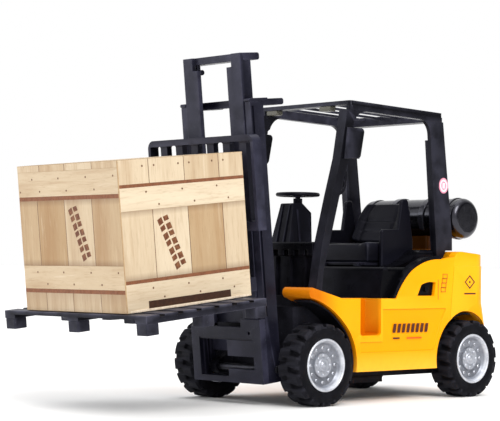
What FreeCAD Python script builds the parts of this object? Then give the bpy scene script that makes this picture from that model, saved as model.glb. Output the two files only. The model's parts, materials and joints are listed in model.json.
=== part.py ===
import FreeCAD, Part
import math
import os

# Toy forklift at 1:20, in millimetres. While it is built, X is across the truck, +Y is the rear,
# Z is up, the front axle is at Y = 0 and the ground at Z = 0. Mast pieces are drawn upright with
# Y and Z measured square to and along the mast, and then tilted forward together.

# Driving dimensions
WHEELBASE = 82.5
TYRE_R = 15.04
TYRE_WIDTH = 11.0
TRACK_HALF = 28.7
BODY_HALF = 31.0
BODY_BOTTOM = 11.8
FLOOR_Z = 38.9
HOOD_Z = 50.9
TAIL_Y = 95.6
TAIL_CORNER_R = 7.4
TAIL_FLARE_R = 3.0
GUARD_HALF = 25.0
GUARD_FRONT_Y = 21.4
GUARD_REAR_Y = 74.4
GUARD_TOP_FRONT_Z = 113.6
GUARD_TOP_REAR_Z = 112.0
MAST_TILT = 5.97
AXLE_R = 1.5
RUNNING_GAP = 0.06

# Wheels
RIM_R = 9.75
LUG_DEPTH = 1.1
LUGS_PER_ROW = 15
LUG_HALF = 2.1
WHEEL_BOLTS = 12
HUB_BOLTS = 8

# Mast, measured square to it (back positive) and along it
OUTER_RAIL_IN = 16.0
OUTER_RAIL_OUT = 19.0
OUTER_FRONT = -13.4
PLATE_FRONT = -16.1
OUTER_BACK = -7.0
OUTER_BOTTOM = 9.6
OUTER_TOP = 112.0
INNER_HALF_IN = 8.0
INNER_HALF_OUT = 15.7
INNER_FRONT = -13.9
INNER_BACK = -8.7
INNER_BOTTOM = 31.0
INNER_TOP = 130.0
CARRIAGE_FRONT = -20.9
CARRIAGE_BACK = -17.6
REST_HALF = 28.9
REST_TOP = 100.3
PIVOT_BACK = -8.8
PIVOT_UP = 14.2
PIN_R = 1.4

# Load
FORK_IN = 8.0
FORK_WIDTH = 6.0
FORK_TOP = 41.7
FORK_THICK = 2.6
PALLET_HALF = 39.8
PALLET_FRONT = -85.6
PALLET_BACK = -31.5
PALLET_TOP = 43.3
PALLET_BOTTOM = 36.7
BOARD_COUNT = 7
CRATE_HALF = 28.2
CRATE_FRONT = -84.0
CRATE_BACK = -27.6
CRATE_BOTTOM = 43.5
CRATE_TOP = 94.4
CARD = 0.8

# Gas tank
TANK_R = 8.1
TANK_HALF = 26.2
TANK_Y = 88.0
TANK_Z = 70.6

Vec = FreeCAD.Vector
nodes = {}


# Shape helpers
def box(x0, x1, y0, y1, z0, z1):
    return Part.makeBox(x1 - x0, y1 - y0, z1 - z0, Vec(x0, y0, z0))


def both_sides(shape):
    return [shape, shape.mirror(Vec(0, 0, 0), Vec(1, 0, 0))]


def cyl(radius, start, end):
    path = Vec(*end) - Vec(*start)
    return Part.makeCylinder(radius, path.Length, Vec(*start), path)


def wire(steps, place):
    """A closed outline. A step is a point, or a pair (point on the arc, end of the arc)."""
    here = steps[0]
    edges = []
    for step in list(steps[1:]) + [steps[0]]:
        if isinstance(step[0], tuple):
            middle, end = step
            edges.append(Part.Arc(place(here), place(middle), place(end)).toShape())
            here = end
        elif (Vec(*here, 0) - Vec(*step, 0)).Length > 1e-6:
            edges.append(Part.makeLine(place(here), place(step)))
            here = step
    return Part.Wire(edges)


def side_prism(steps, x0, x1):
    face = Part.Face(wire(steps, lambda p: Vec(x0, p[0], p[1])))
    return face.extrude(Vec(x1 - x0, 0, 0))


def front_prism(steps, y0, y1):
    face = Part.Face(wire(steps, lambda p: Vec(p[0], y0, p[1])))
    return face.extrude(Vec(0, y1 - y0, 0))


def top_prism(steps, z0, z1):
    face = Part.Face(wire(steps, lambda p: Vec(p[0], p[1], z0)))
    return face.extrude(Vec(0, 0, z1 - z0))


def turned(steps, axis_y, axis_z):
    """A solid turned about an X line, from (x, radius) steps."""
    face = Part.Face(wire(steps, lambda p: Vec(p[0], axis_y, axis_z + p[1])))
    return face.revolve(Vec(0, axis_y, axis_z), Vec(1, 0, 0), 360)


def fuse(shapes):
    first = shapes[0]
    return first.multiFuse(shapes[1:]).removeSplitter() if len(shapes) > 1 else first


def rounded(shape, radius, wanted):
    """The shape with the edges that pass the test filleted, or unchanged where none does."""
    edges = [edge for edge in shape.Edges if wanted(edge)]
    return shape.makeFillet(radius, edges) if edges else shape


def along(edge, axis):
    """True for a straight edge that runs along the axis numbered 0, 1 or 2."""
    ends = [vertex.Point for vertex in edge.Vertexes]
    if len(ends) != 2 or not isinstance(edge.Curve, Part.Line):
        return False
    step = ends[1] - ends[0]
    return abs(step[axis]) > 0.999 * step.Length


def tilted(shape):
    turned_shape = shape.copy()
    turned_shape.rotate(Vec(0, 0, 0), Vec(1, 0, 0), MAST_TILT)
    return turned_shape


def put(name, *shapes):
    solids = [solid for shape in shapes for solid in shape.Solids]
    nodes[name] = solids[0] if len(solids) == 1 else Part.makeCompound(solids)


def put_tilted(name, *shapes):
    put(name, *[tilted(shape) for shape in shapes])


# Wheels and axles
def tyre(side, axle_y):
    half = TYRE_WIDTH / 2
    base_r = TYRE_R - LUG_DEPTH
    carcass = turned([(-half + 1.2, RIM_R - 0.55), (half - 1.2, RIM_R - 0.55), (half - 0.5, RIM_R),
                      ((half, RIM_R + 1.9), (half - 0.55, base_r - 0.2)), (half - 1.3, base_r),
                      (1.3 - half, base_r), (0.55 - half, base_r - 0.2),
                      ((-half, RIM_R + 1.9), (0.5 - half, RIM_R))], axle_y, TYRE_R)
    crown = turned([(-half + 0.35, base_r - 0.6), (half - 0.35, base_r - 0.6),
                    (half - 0.35, TYRE_R - 0.75), (half - 1.1, TYRE_R), (1.1 - half, TYRE_R),
                    (0.35 - half, TYRE_R - 0.75)], axle_y, TYRE_R)
    lugs = []
    pitch = 360.0 / LUGS_PER_ROW
    for row, (x0, x1) in enumerate([(-half + 0.35, 0.3), (-0.3, half - 0.35)]):
        slant = 1.3 if row == 0 else -1.3
        lug = top_prism([(x0, -LUG_HALF - slant / 2), (x1, -LUG_HALF + slant / 2),
                         (x1, LUG_HALF + slant / 2), (x0, LUG_HALF - slant / 2)], base_r - 0.6, TYRE_R + 1)
        lug.translate(Vec(0, axle_y, TYRE_R))
        lug = lug.common(crown)
        for index in range(LUGS_PER_ROW):
            copy = lug.copy()
            copy.rotate(Vec(0, axle_y, TYRE_R), Vec(1, 0, 0), (index + row / 2.0) * pitch)
            lugs.append(copy)
    shape = carcass.fuse(lugs).removeSplitter()
    shape.translate(Vec(side * TRACK_HALF, 0, 0))
    return shape


def rim(side, axle_y):
    half = TYRE_WIDTH / 2
    seat_r = RIM_R - 0.55
    profile = [(-half + 1.3, seat_r - 1.0), (-half + 1.3, seat_r), (half - 1.2, seat_r),
               (half - 0.45, RIM_R - 0.05), ((half - 0.05, RIM_R - 0.45), (half - 0.35, RIM_R - 0.95)),
               (half - 1.0, RIM_R - 1.35), (half - 2.1, RIM_R - 2.3), (half - 2.5, 4.7),
               (half - 1.9, 4.5), (half - 1.9, 2.5), (half - 1.5, 2.2), (half - 1.5, 1.5),
               (half - 1.1, 0.95), (half - 0.95, 0.4), (half - 0.95, 0),
               (-half + 1.3, 0), (-half + 1.3, 3.2), (half - 4.3, 3.6), (half - 4.3, 7.4),
               (half - 3.4, seat_r - 1.0)]
    shape = turned(profile, axle_y, TYRE_R)
    shape = shape.cut(cyl(AXLE_R, (-half, axle_y, TYRE_R), (half - 3.1, axle_y, TYRE_R)))
    bolts = []
    for count, ring_r, bolt_r, x0, x1 in [(WHEEL_BOLTS, 6.3, 0.36, half - 2.8, half - 1.75),
                                          (HUB_BOLTS, 3.5, 0.34, half - 2.2, half - 1.45)]:
        for index in range(count):
            turn = 2 * math.pi * index / count
            y = axle_y + ring_r * math.sin(turn)
            z = TYRE_R + ring_r * math.cos(turn)
            bolts.append(cyl(bolt_r, (x0, y, z), (x1, y, z)))
    shape = shape.fuse(bolts)
    if side < 0:
        shape = shape.mirror(Vec(0, 0, 0), Vec(1, 0, 0))
    shape.translate(Vec(side * TRACK_HALF, 0, 0))
    return shape


AXLE_END = TRACK_HALF + TYRE_WIDTH / 2 - 3.1
for end_name, axle_y in [("front", 0.0), ("rear", WHEELBASE)]:
    put(end_name + "_axle_rod", cyl(AXLE_R, (-AXLE_END, axle_y, TYRE_R), (AXLE_END, axle_y, TYRE_R)))
    for side_name, side in [("left", 1), ("right", -1)]:
        put("rim_" + end_name + "_" + side_name, rim(side, axle_y))
        put("tyre_" + end_name + "_" + side_name, tyre(side, axle_y))

# Black chassis under the body
FRAME_HALF = 20.6
FRAME_WALL = 2.0
FRAME_BOTTOM = 9.0
FRAME_FRONT = -4.2
frame_tub = box(-FRAME_HALF, FRAME_HALF, FRAME_FRONT, 90, FRAME_BOTTOM, 36.0)
hollow_half = FRAME_HALF - FRAME_WALL
for y0, y1 in [(-2.2, 2 * AXLE_R + 2), (8.5, 38.0), (40.0, 72.0), (74.0, 88.0)]:
    frame_tub = frame_tub.cut(box(-hollow_half, hollow_half, y0, y1, FRAME_BOTTOM + FRAME_WALL, 37.0))
rear_top_cut = box(-FRAME_HALF - 1, FRAME_HALF + 1, 73.0, 91, 26.0, 37.0)
keel = box(-12.0, 21.5, 26.0, 44.0, 6.9, FRAME_BOTTOM)
keel = rounded(keel, 1.2, lambda edge: along(edge, 2))
bulkhead = box(-16.6, 16.6, 5.3, 6.3, 35.5, 39.9)
chassis = fuse([frame_tub.cut(rear_top_cut), keel, bulkhead])
for axle_y in (0.0, WHEELBASE):
    chassis = chassis.cut(cyl(AXLE_R + RUNNING_GAP, (-22, axle_y, TYRE_R), (22, axle_y, TYRE_R)))
put("chassis_frame", chassis)
pivot = tilted(Part.Vertex(0, PIVOT_BACK, PIVOT_UP)).Point
pivot_hole = cyl(PIN_R + RUNNING_GAP, (-21, pivot.y, pivot.z), (21, pivot.y, pivot.z))
BRACKET_R = 2.8
bracket = side_prism([(FRAME_FRONT, 10.2), (pivot.y, pivot.z - BRACKET_R),
                      ((pivot.y - BRACKET_R, pivot.z), (pivot.y, pivot.z + BRACKET_R)),
                      (FRAME_FRONT, 19.0)], 11.6, 14.6)
put("mast_brackets", *both_sides(bracket.cut(pivot_hole)))

# Yellow body shell: two deep sides with fenders, joined under the floor and the seat
FENDER_FRONT_Y = -6.0
ARCH_R = 19.2
ARCH_START = (math.sqrt(ARCH_R ** 2 - (TYRE_R - BODY_BOTTOM) ** 2), BODY_BOTTOM)
ARCH_HIGH = (12.6, 29.8)
REAR_ARCH_R = 18.5
rear_arch_low = (WHEELBASE - math.sqrt(REAR_ARCH_R ** 2 - (TYRE_R - BODY_BOTTOM) ** 2), BODY_BOTTOM)
SEAM_LOW = (WHEELBASE - 10.6, TYRE_R + math.sqrt(REAR_ARCH_R ** 2 - 10.6 ** 2))
rear_arch_mid = (WHEELBASE - REAR_ARCH_R * math.cos(0.42), TYRE_R + REAR_ARCH_R * math.sin(0.42))
SEAM_TOP = (74.6, 55.1)
side_steps = [(-4.6, 43.2), (10.9, FLOOR_Z + 0.3), (40.7, FLOOR_Z),
              ((43.6, 43.6), (49.4, 49.4)), ((55.6, 52.4), (66.9, 54.0)), SEAM_TOP,
              SEAM_LOW, (rear_arch_mid, rear_arch_low), ARCH_START,
              ((17.6, 22.7), ARCH_HIGH), ((4.6, 35.85), (-4.0, 39.2)),
              ((FENDER_FRONT_Y, 41.0), (-4.6, 43.2))]
SHELL_IN = 21.0
PANEL = 2.8
side_block = side_prism(side_steps, SHELL_IN, BODY_HALF)
fender_top = side_prism([(-4.6, 43.2), (6.0, 40.4), (6.0, 36.6), ((1.0, 37.4), (-4.0, 39.2)),
                         ((FENDER_FRONT_Y, 41.0), (-4.6, 43.2))], 16.9, SHELL_IN)
fender_top = rounded(fender_top, 2.2, lambda edge: along(edge, 1) and edge.CenterOfMass.x < 17)
cuts = [box(SHELL_IN - 1, BODY_HALF - PANEL, 32.5, 80, FLOOR_Z, 60),
        box(SHELL_IN - 1, BODY_HALF - PANEL, 34.6, 58.5, 14.0, FLOOR_Z - 2.2),
        box(SHELL_IN - 1, BODY_HALF - PANEL, 22.0, 34.6, 14.0, 21.5)]
side_block = side_block.cut(fuse(cuts))
STEP_DEPTH = 8.4
step_recess = box(BODY_HALF - STEP_DEPTH, BODY_HALF + 1, 20.9, 32.2, 25.2, FLOOR_Z + 2)
step_recess = rounded(step_recess, 1.2, lambda edge: along(edge, 0))
side_block = side_block.cut(step_recess)
PANEL_SINK = 0.45
sunk_panel = side_prism([(33.2, 35.0), (69.6, 35.0), (66.0, 28.5), (63.6, 22.0), (62.4, 18.8), (21.4, 18.8),
                         (20.8, 22.8), (33.2, 22.8)], BODY_HALF - PANEL_SINK, BODY_HALF + 1)
sunk_panel = rounded(sunk_panel, 0.4, lambda edge: edge.CenterOfMass.x < BODY_HALF)
side_block = side_block.cut(sunk_panel)
VENT = [(52.6, 39.9), (54.9, 44.1), ((59.2, 45.2), (63.3, 45.0)), (62.4, 39.9)]
vent_hole = side_prism(VENT, BODY_HALF - PANEL - 0.5, BODY_HALF + 1)
side_block = side_block.cut(vent_hole)
cross_web = box(-SHELL_IN, SHELL_IN, 42.0, 60.0, 36.1, 37.6)
side_block = fuse([side_block, fender_top])
put("body_shell", fuse(both_sides(side_block) + [cross_web]))
vent_plate = side_prism(VENT, BODY_HALF - PANEL + 0.2, BODY_HALF - 1.3)
vent_knob = cyl(1.05, (BODY_HALF - 1.4, 58.4, 42.3), (BODY_HALF - 0.2, 58.4, 42.3))
put("vent_inserts", *both_sides(vent_plate.fuse(vent_knob)))

# Counterweight behind the seam
cw_top_rear = (TAIL_Y - 5.2, 56.2)
cw_side = [(SEAM_TOP[0] + 0.15, SEAM_TOP[1]), ((76.4, 56.6), (79.0, 57.2)), cw_top_rear,
           ((TAIL_Y - 1.6, 54.6), (TAIL_Y - 0.2, 50.8)), (TAIL_Y, 38.0), (TAIL_Y - 0.3, 28.4),
           (TAIL_Y - 1.9, 27.2), ((WHEELBASE + 4.0, 32.9), (SEAM_LOW[0] + 0.15, SEAM_LOW[1]))]
weight = side_prism(cw_side, -BODY_HALF, BODY_HALF)


def tail_outline(corner, inset, z):
    """The truck's outline from above, with its rear corners rounded."""
    half = BODY_HALF - inset
    rear = TAIL_Y - inset
    bend = corner * (1 - math.sqrt(0.5))
    return wire([(-half, 60), (half, 60), (half, rear - corner), ((half - bend, rear - bend), (half - corner, rear)),
                 (corner - half, rear), ((bend - half, rear - bend), (-half, rear - corner))],
                lambda p: Vec(p[0], p[1], z))


BAND_Z = 51.4
BAND_INSET = 0.2
tail_flare = Part.makeLoft([tail_outline(TAIL_FLARE_R, 0, 24), tail_outline(TAIL_CORNER_R, 0, 37)], True, True)
tail_middle = Part.Face(tail_outline(TAIL_CORNER_R, 0, 37)).extrude(Vec(0, 0, BAND_Z - 37))
tail_slope = Part.makeLoft([tail_outline(TAIL_CORNER_R, 0, BAND_Z),
                            tail_outline(TAIL_CORNER_R, BAND_INSET, BAND_Z + BAND_INSET)], True, True)
tail_upper = Part.Face(tail_outline(TAIL_CORNER_R, BAND_INSET, BAND_Z + BAND_INSET)).extrude(Vec(0, 0, 9))
weight = weight.common(fuse([tail_flare, tail_middle, tail_slope, tail_upper]))
weight = weight.cut(box(-27.5, 27.5, 60, 77.0, 20, 60))
weight = weight.cut(box(-27.5, 27.5, 76.9, 91.5, 20, 52.5))
saddle = box(-12.5, 12.5, 79.0, 91.0, 52.4, 63.6)
tank_bore = cyl(TANK_R + 0.02, (-30, TANK_Y, TANK_Z), (30, TANK_Y, TANK_Z))
saddle = rounded(saddle, 1.5, lambda edge: along(edge, 2)).cut(tank_bore)
tail_centre = box(-22.4, 22.4, 91.4, TAIL_Y - 1.2, 18.0, 30.0)
tail_centre = rounded(tail_centre, 1.2, lambda edge: along(edge, 2))
weight = fuse([weight, saddle, tail_centre])
put("counterweight", weight)

# Black liners under the wheel arches
LINER_OUT = BODY_HALF - 1.3
front_liner = side_prism([(18.4, BODY_BOTTOM), ((17.1, 22.45), (12.2, 29.35)), ((4.3, 35.35), (-3.9, 38.6)),
                          (-4.1, 38.0), ((4.0, 34.8), (11.8, 28.9)), ((16.55, 22.2), (17.8, BODY_BOTTOM))],
                         SHELL_IN, LINER_OUT)


def rear_arch_point(radius, degrees):
    turn = math.radians(degrees)
    return (WHEELBASE + radius * math.cos(turn), TYRE_R + radius * math.sin(turn))


LINER_R = REAR_ARCH_R - 0.5
LINER_THICK = 0.6
rear_band = side_prism([rear_arch_point(LINER_R, 172), (rear_arch_point(LINER_R, 125), rear_arch_point(LINER_R, 80)),
                        rear_arch_point(LINER_R - LINER_THICK, 80),
                        (rear_arch_point(LINER_R - LINER_THICK, 125), rear_arch_point(LINER_R - LINER_THICK, 172))],
                       SHELL_IN, LINER_OUT)
rear_wall = side_prism([rear_arch_point(LINER_R, 170), (rear_arch_point(LINER_R, 125), rear_arch_point(LINER_R, 80)),
                        (WHEELBASE + 3.1, 20.0)], SHELL_IN, SHELL_IN + LINER_THICK)
put("arch_liners", *both_sides(front_liner), *both_sides(fuse([rear_band, rear_wall])))

# Cab floor, front panel, cowl and steering console
floor_plate = box(-20.8, 20.8, 6.4, 42.0, 36.1, FLOOR_Z)
ribs = [box(-18.0, 18.0, 12.0 + 3.0 * index, 13.0 + 3.0 * index, FLOOR_Z, FLOOR_Z + 0.35)
        for index in range(7)]
put("cab_floor", fuse([floor_plate] + ribs))
panel_ribs = [box(x - 0.5, x + 0.5, 6.3, 7.6, 40.0, 54.6) for x in (-16, -8, 0, 8, 16)]
put("front_panel", fuse([box(-20.6, 20.6, 7.5, 9.3, FLOOR_Z, 54.8)] + panel_ribs))
cowl_top = box(-20.6, 20.6, 5.8, 11.5, 57.0, 60.0)
cowl_top = rounded(cowl_top, 0.8,
                   lambda edge: along(edge, 0) and edge.CenterOfMass.z > 59 and edge.CenterOfMass.y < 6)
teeth = [box(x, x + 3.2, 5.8, 10.0, 54.8, 57.0)
         for x in (-20.6, -14.9, -9.3, -3.7, 1.9, 7.5, 13.1, 17.4)]
put("cowl", fuse([cowl_top, box(-20.6, 20.6, 7.5, 11.5, 54.8, 57.0)] + teeth))
console_side = [(9.0, 60.0), (12.3, 74.2), ((12.6, 74.8), (13.2, 74.9)), (17.5, 74.9), (21.8, 71.4), (20.8, 60.0)]
console = side_prism(console_side, -5.4, 5.4)
console_front = front_prism([(-5.2, 60.0), (5.2, 60.0), (3.3, 75.5), (-3.3, 75.5)], 5, 25)
console = console.common(console_front)
console_ribs = []
for x in (-1.9, 1.9):
    console_ribs.append(side_prism([(8.4, 60.0), (11.9, 74.4), (13.5, 74.4), (10.5, 60.0)], x - 0.35, x + 0.35))
side_rib = box(-5.5, 5.5, 13.8, 14.7, 60.0, 72.6).common(front_prism(
    [(-5.45, 60.0), (5.45, 60.0), (3.75, 73.5), (-3.75, 73.5)], 5, 25))
console = fuse([console, side_rib] + console_ribs)
column_foot = Vec(0, 18.2, 72.6)
wheel_centre = Vec(0, 18.2, 78.4)
column_dir = (wheel_centre - column_foot).normalize()
shaft_start = column_foot - column_dir * 3
shaft_hole = Part.makeCylinder(1.0 + RUNNING_GAP, 9, shaft_start, column_dir)
column = Part.makeCylinder(1.75, 5.3, column_foot - column_dir * 1.0, column_dir)
put("steering_console", console.fuse(column).cut(shaft_hole))
STEER_R = 8.5
RING_R = 0.75
ring = Part.makeTorus(STEER_R - RING_R, RING_R, Vec(0, 0, 0), Vec(0, 0, 1))
hub = Part.makeCylinder(1.9, 1.5, Vec(0, 0, -1.1), Vec(0, 0, 1))
spokes = []
for turn in (90, 210, 330):
    spoke = box(1.0, STEER_R - RING_R, -0.65, 0.65, -0.5, 0.3)
    spoke.rotate(Vec(0, 0, 0), Vec(0, 0, 1), turn)
    spokes.append(spoke)
shaft_len = (wheel_centre - column_foot).Length + 2.6
shaft = Part.makeCylinder(1.0, shaft_len - 1.1, Vec(0, 0, -shaft_len), Vec(0, 0, 1))
lean = FreeCAD.Rotation(Vec(0, 0, 1), column_dir)
wheel_place = FreeCAD.Placement(wheel_centre, lean)
for name, shape in [("steering_wheel", fuse([ring, hub] + spokes)), ("steering_shaft", shaft)]:
    shape.Placement = wheel_place
    put(name, shape)

# Hood and seat
hood = side_prism([(34.6, FLOOR_Z + 0.2), (36.2, 49.4), ((36.7, 50.6), (37.9, HOOD_Z)), (61.0, HOOD_Z),
                   ((62.5, 52.4), (64.5, 53.9)), (66.5, 54.3), (74.2, 54.3), (73.0, FLOOR_Z + 0.2)], -28.0, 28.0)
hood = rounded(hood, 1.6, lambda edge: along(edge, 1) and edge.CenterOfMass.z > 50 and edge.Length > 15)
hood = hood.cut(box(-25.5, 25.5, 38.5, 71.0, FLOOR_Z - 1, HOOD_Z - 2))
SHOULDER_HALF = 23.2
SHOULDER_TOP = 57.8
shoulders = side_prism([(42.0, HOOD_Z - 0.5), (46.0, HOOD_Z), ((55.0, 52.9), (62.0, 56.6)),
                        ((64.0, 57.5), (66.5, SHOULDER_TOP)), (73.4, SHOULDER_TOP), (74.2, 57.0),
                        (74.2, HOOD_Z - 0.5)], -SHOULDER_HALF, SHOULDER_HALF)
shoulder_arch = front_prism([(-SHOULDER_HALF, 50.0), (-SHOULDER_HALF, 55.8),
                             ((0.6 - SHOULDER_HALF, 57.2), (2.0 - SHOULDER_HALF, 57.85)),
                             (SHOULDER_HALF - 2.0, 57.85), ((SHOULDER_HALF - 0.6, 57.2), (SHOULDER_HALF, 55.8)),
                             (SHOULDER_HALF, 50.0)], 40, 76)
shoulders = shoulders.common(shoulder_arch)
seat_well = box(-16.2, 16.2, 36.0, 67.4, HOOD_Z, 60)
hood = hood.fuse(shoulders).cut(seat_well)
cheek = side_prism([(39.2, FLOOR_Z + 0.3), ((42.2, 44.3), (48.4, 50.4)), ((55.0, 53.7), (66.8, 55.3)),
                    (66.9, 54.05), ((55.6, 52.45), (49.4, 49.45)), ((43.55, 43.65), (40.6, FLOOR_Z + 0.3))],
                   27.5, 30.7)
hood = fuse([hood] + both_sides(cheek)).cut(nodes["body_shell"]).removeSplitter()
put("engine_hood", hood)
seat_rails = [box(-10.5, -8.0, 41.0, 60.0, HOOD_Z, 52.7), box(8.0, 10.5, 41.0, 60.0, HOOD_Z, 52.7),
              box(-12.6, 12.6, 42.6, 60.0, HOOD_Z + 0.5, 52.7)]
put("seat_base", fuse(seat_rails))
SEAT_HALF = 14.0
cushion = box(-SEAT_HALF, SEAT_HALF, 42.8, 59.4, 52.7, 60.0)
cushion = rounded(cushion, 2.0, lambda edge: along(edge, 2) or edge.CenterOfMass.z > 59.9)
bolsters = []
for x0 in (-SEAT_HALF, SEAT_HALF - 4.2):
    bolster = box(x0, x0 + 4.2, 43.6, 59.2, 53.5, 61.0)
    bolsters.append(rounded(bolster, 1.4, lambda edge: edge.CenterOfMass.z > 60.9 or along(edge, 2)))
put("seat_cushion", fuse([cushion] + bolsters))
BACK_LEAN = 28.0
back = front_prism([(-12.6, 0), (-12.4, 10.0), ((-11.4, 16.0), (-6.8, 18.9)), (6.8, 18.9),
                    ((11.4, 16.0), (12.4, 10.0)), (12.6, 0)], 0, 4.4)
back = rounded(back, 0.9, lambda edge: abs(edge.CenterOfMass.y) < 0.01 and edge.CenterOfMass.z > 0.1)
back.rotate(Vec(0, 0, 0), Vec(1, 0, 0), -BACK_LEAN)
back.translate(Vec(0, 59.9, 61.2))
put("seat_back", back)
hip = side_prism([(48.6, HOOD_Z), (48.6, 64.2), ((49.0, 65.2), (50.0, 65.6)), (58.2, 65.8), (59.9, 75.4),
                  ((60.4, 77.2), (62.0, 77.7)), ((63.6, 77.4), (64.2, 76.0)), (66.8, 61.7), (66.8, HOOD_Z)],
                 14.3, 16.0)
hip = rounded(hip, 0.6, lambda edge: not along(edge, 0) and edge.CenterOfMass.z > HOOD_Z + 0.1)
put("hip_restraints", *both_sides(hip))

# Overhead guard
def roof_z(y):
    share = (y - GUARD_FRONT_Y) / (GUARD_REAR_Y - GUARD_FRONT_Y)
    return GUARD_TOP_FRONT_Z + share * (GUARD_TOP_REAR_Z - GUARD_TOP_FRONT_Z)


RAIL_DEEP = 3.6
RAIL_STEP = 1.8
RAIL_INSET = 0.4
front_post = [(3.3, FLOOR_Z + 3.2), (6.6, 60.0), (11.2, 76.3), (15.8, 91.4), (17.6, 101.2),
              (19.3, roof_z(20) - RAIL_DEEP), (29.8, roof_z(30) - RAIL_DEEP), ((24.9, 107.8), (22.6, 103.4)),
              (23.4, 103.2), (22.9, 92.2), (20.4, 91.2), (15.2, 76.3), (11.0, 62.0), (7.4, 49.5),
              (6.4, FLOOR_Z + 2.4)]
post = side_prism(front_post, 20.8, GUARD_HALF)
post = post.cut(side_prism([(21.9, 104.2), (34, 112.0), (34, 91.0), (19.4, 90.6)], 20.0, 23.2))
wing_plate = side_prism([(18.8, 103.2), (26.6, 103.2), ((27.8, 102.6), (28.0, 101.2)), (26.2, 92.6),
                         (25.4, 91.6), (17.2, 91.2)], GUARD_HALF - 0.4, GUARD_HALF + 0.8)
wing_plate = rounded(wing_plate, 0.4, lambda edge: edge.CenterOfMass.x > GUARD_HALF + 0.79)
post = fuse([post, wing_plate])
for node_name, shape in zip(("guard_front_post_left", "guard_front_post_right"), both_sides(post)):
    put(node_name, shape)
rear_foot_z = 54.35
rear_post = [(70.8, rear_foot_z), (68.6, 79.8), (66.7, 101.0), (66.5, 103.2),
             ((65.0, 106.8), (61.2, roof_z(61.2) - RAIL_DEEP)),
             (GUARD_REAR_Y - 0.2, roof_z(GUARD_REAR_Y) - RAIL_DEEP),
             (76.8, 86.4), (79.9, 63.0), (80.0, 57.6), (76.0, 57.6), (74.2, rear_foot_z)]
post = side_prism(rear_post, GUARD_HALF - 1.6, GUARD_HALF)
inner_flange = side_prism([(70.8, rear_foot_z), (68.6, 79.8), (66.7, 101.0), (68.1, 101.0),
                           (70.0, 79.8), (72.2, rear_foot_z)], GUARD_HALF - 3.0, GUARD_HALF - 1.5)
post = fuse([post, inner_flange]).cut(shoulders)
for node_name, shape in zip(("guard_rear_post_left", "guard_rear_post_right"), both_sides(post)):
    put(node_name, shape)


def roof_strip(x0, x1, y0, y1, drop, thick):
    return side_prism([(y0, roof_z(y0) - drop), (y1, roof_z(y1) - drop), (y1, roof_z(y1) - drop - thick),
                       (y0, roof_z(y0) - drop - thick)], x0, x1)


upper_half = GUARD_HALF - RAIL_INSET
upper = [roof_strip(22.4, upper_half, GUARD_FRONT_Y, GUARD_REAR_Y, 0.0, RAIL_STEP)]
upper.append(upper[0].mirror(Vec(0, 0, 0), Vec(1, 0, 0)))
upper.append(roof_strip(-upper_half, upper_half, GUARD_FRONT_Y, GUARD_FRONT_Y + 4.0, 0.0, 1.5))
upper.append(roof_strip(-upper_half, upper_half, GUARD_REAR_Y - 4.5, GUARD_REAR_Y, 0.0, RAIL_STEP))
upper = rounded(fuse(upper), 1.4, lambda edge: along(edge, 2) and abs(edge.CenterOfMass.x) > upper_half - 0.1)
lower = [roof_strip(22.4, GUARD_HALF, GUARD_FRONT_Y, GUARD_REAR_Y, RAIL_STEP, RAIL_DEEP - RAIL_STEP)]
lower.append(lower[0].mirror(Vec(0, 0, 0), Vec(1, 0, 0)))
lower.append(roof_strip(-GUARD_HALF, GUARD_HALF, GUARD_REAR_Y - 4.5, GUARD_REAR_Y, RAIL_STEP,
                        RAIL_DEEP - RAIL_STEP))
lower = rounded(fuse(lower), 1.4, lambda edge: along(edge, 2) and abs(edge.CenterOfMass.x) > GUARD_HALF - 0.1)
roof = fuse([upper, lower])
put("guard_roof_frame", roof)
bars = [roof_strip(x - 0.6, x + 0.6, GUARD_FRONT_Y + 4.0, GUARD_REAR_Y - 4.5, 0.5, 0.9)
        for x in (-14.0, -4.6, 4.6, 14.0)]
put("guard_roof_bars", *bars)
lamps = []
for x0 in (-21.3, 7.9):
    lamp = box(x0, x0 + 5.7, GUARD_FRONT_Y + 0.1, GUARD_FRONT_Y + 3.4, 110.2, roof_z(25) - 1.5)
    lamp = rounded(lamp, 0.5, lambda edge: along(edge, 1) and edge.CenterOfMass.z < 110.8)
    lamps.append(lamp.cut(nodes["guard_front_post_left"]).cut(nodes["guard_front_post_right"]))
put("work_lamps", *lamps)
handle_side = [(16.4, 77.6), ((19.6, 79.0), (20.6, 82.6)), ((21.0, 86.6), (19.0, 89.0)), (17.9, 88.0),
               ((19.6, 86.0), (19.4, 82.8)), ((18.6, 80.0), (16.2, 79.0))]
handle = side_prism(handle_side, 22.0, 23.6)
handle = rounded(handle, 0.3, lambda edge: not along(edge, 0))
put("grab_handle", handle.cut(nodes["guard_front_post_left"]))

# Gas tank on the counterweight saddle
half = TANK_HALF
tank = turned([(-half, 0), (-half, 5.4), ((-half + 0.7, 7.3), (-half + 2.6, TANK_R)), (half - 2.6, TANK_R),
               ((half - 0.7, 7.3), (half, 5.4)), (half, 0)], TANK_Y, TANK_Z)
put("gas_tank", tank)
straps = []
for x in (-8.5, 8.5):
    band = turned([(x - 1.3, TANK_R + 0.02), (x + 1.3, TANK_R + 0.02), (x + 1.3, TANK_R + 0.6),
                   (x - 1.3, TANK_R + 0.6)], TANK_Y, TANK_Z)
    straps.append(band.cut(box(-30, 30, 60, 110, 50, TANK_Z - 4.7)))
put("tank_straps", *straps)
collar = turned([(half - 5.6, TANK_R + 0.02), (half - 4.4, TANK_R + 0.02), (half - 4.4, TANK_R + 0.35),
                 (half - 5.6, TANK_R + 0.35)], TANK_Y, TANK_Z)
put("tank_collars", *both_sides(collar))

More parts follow.
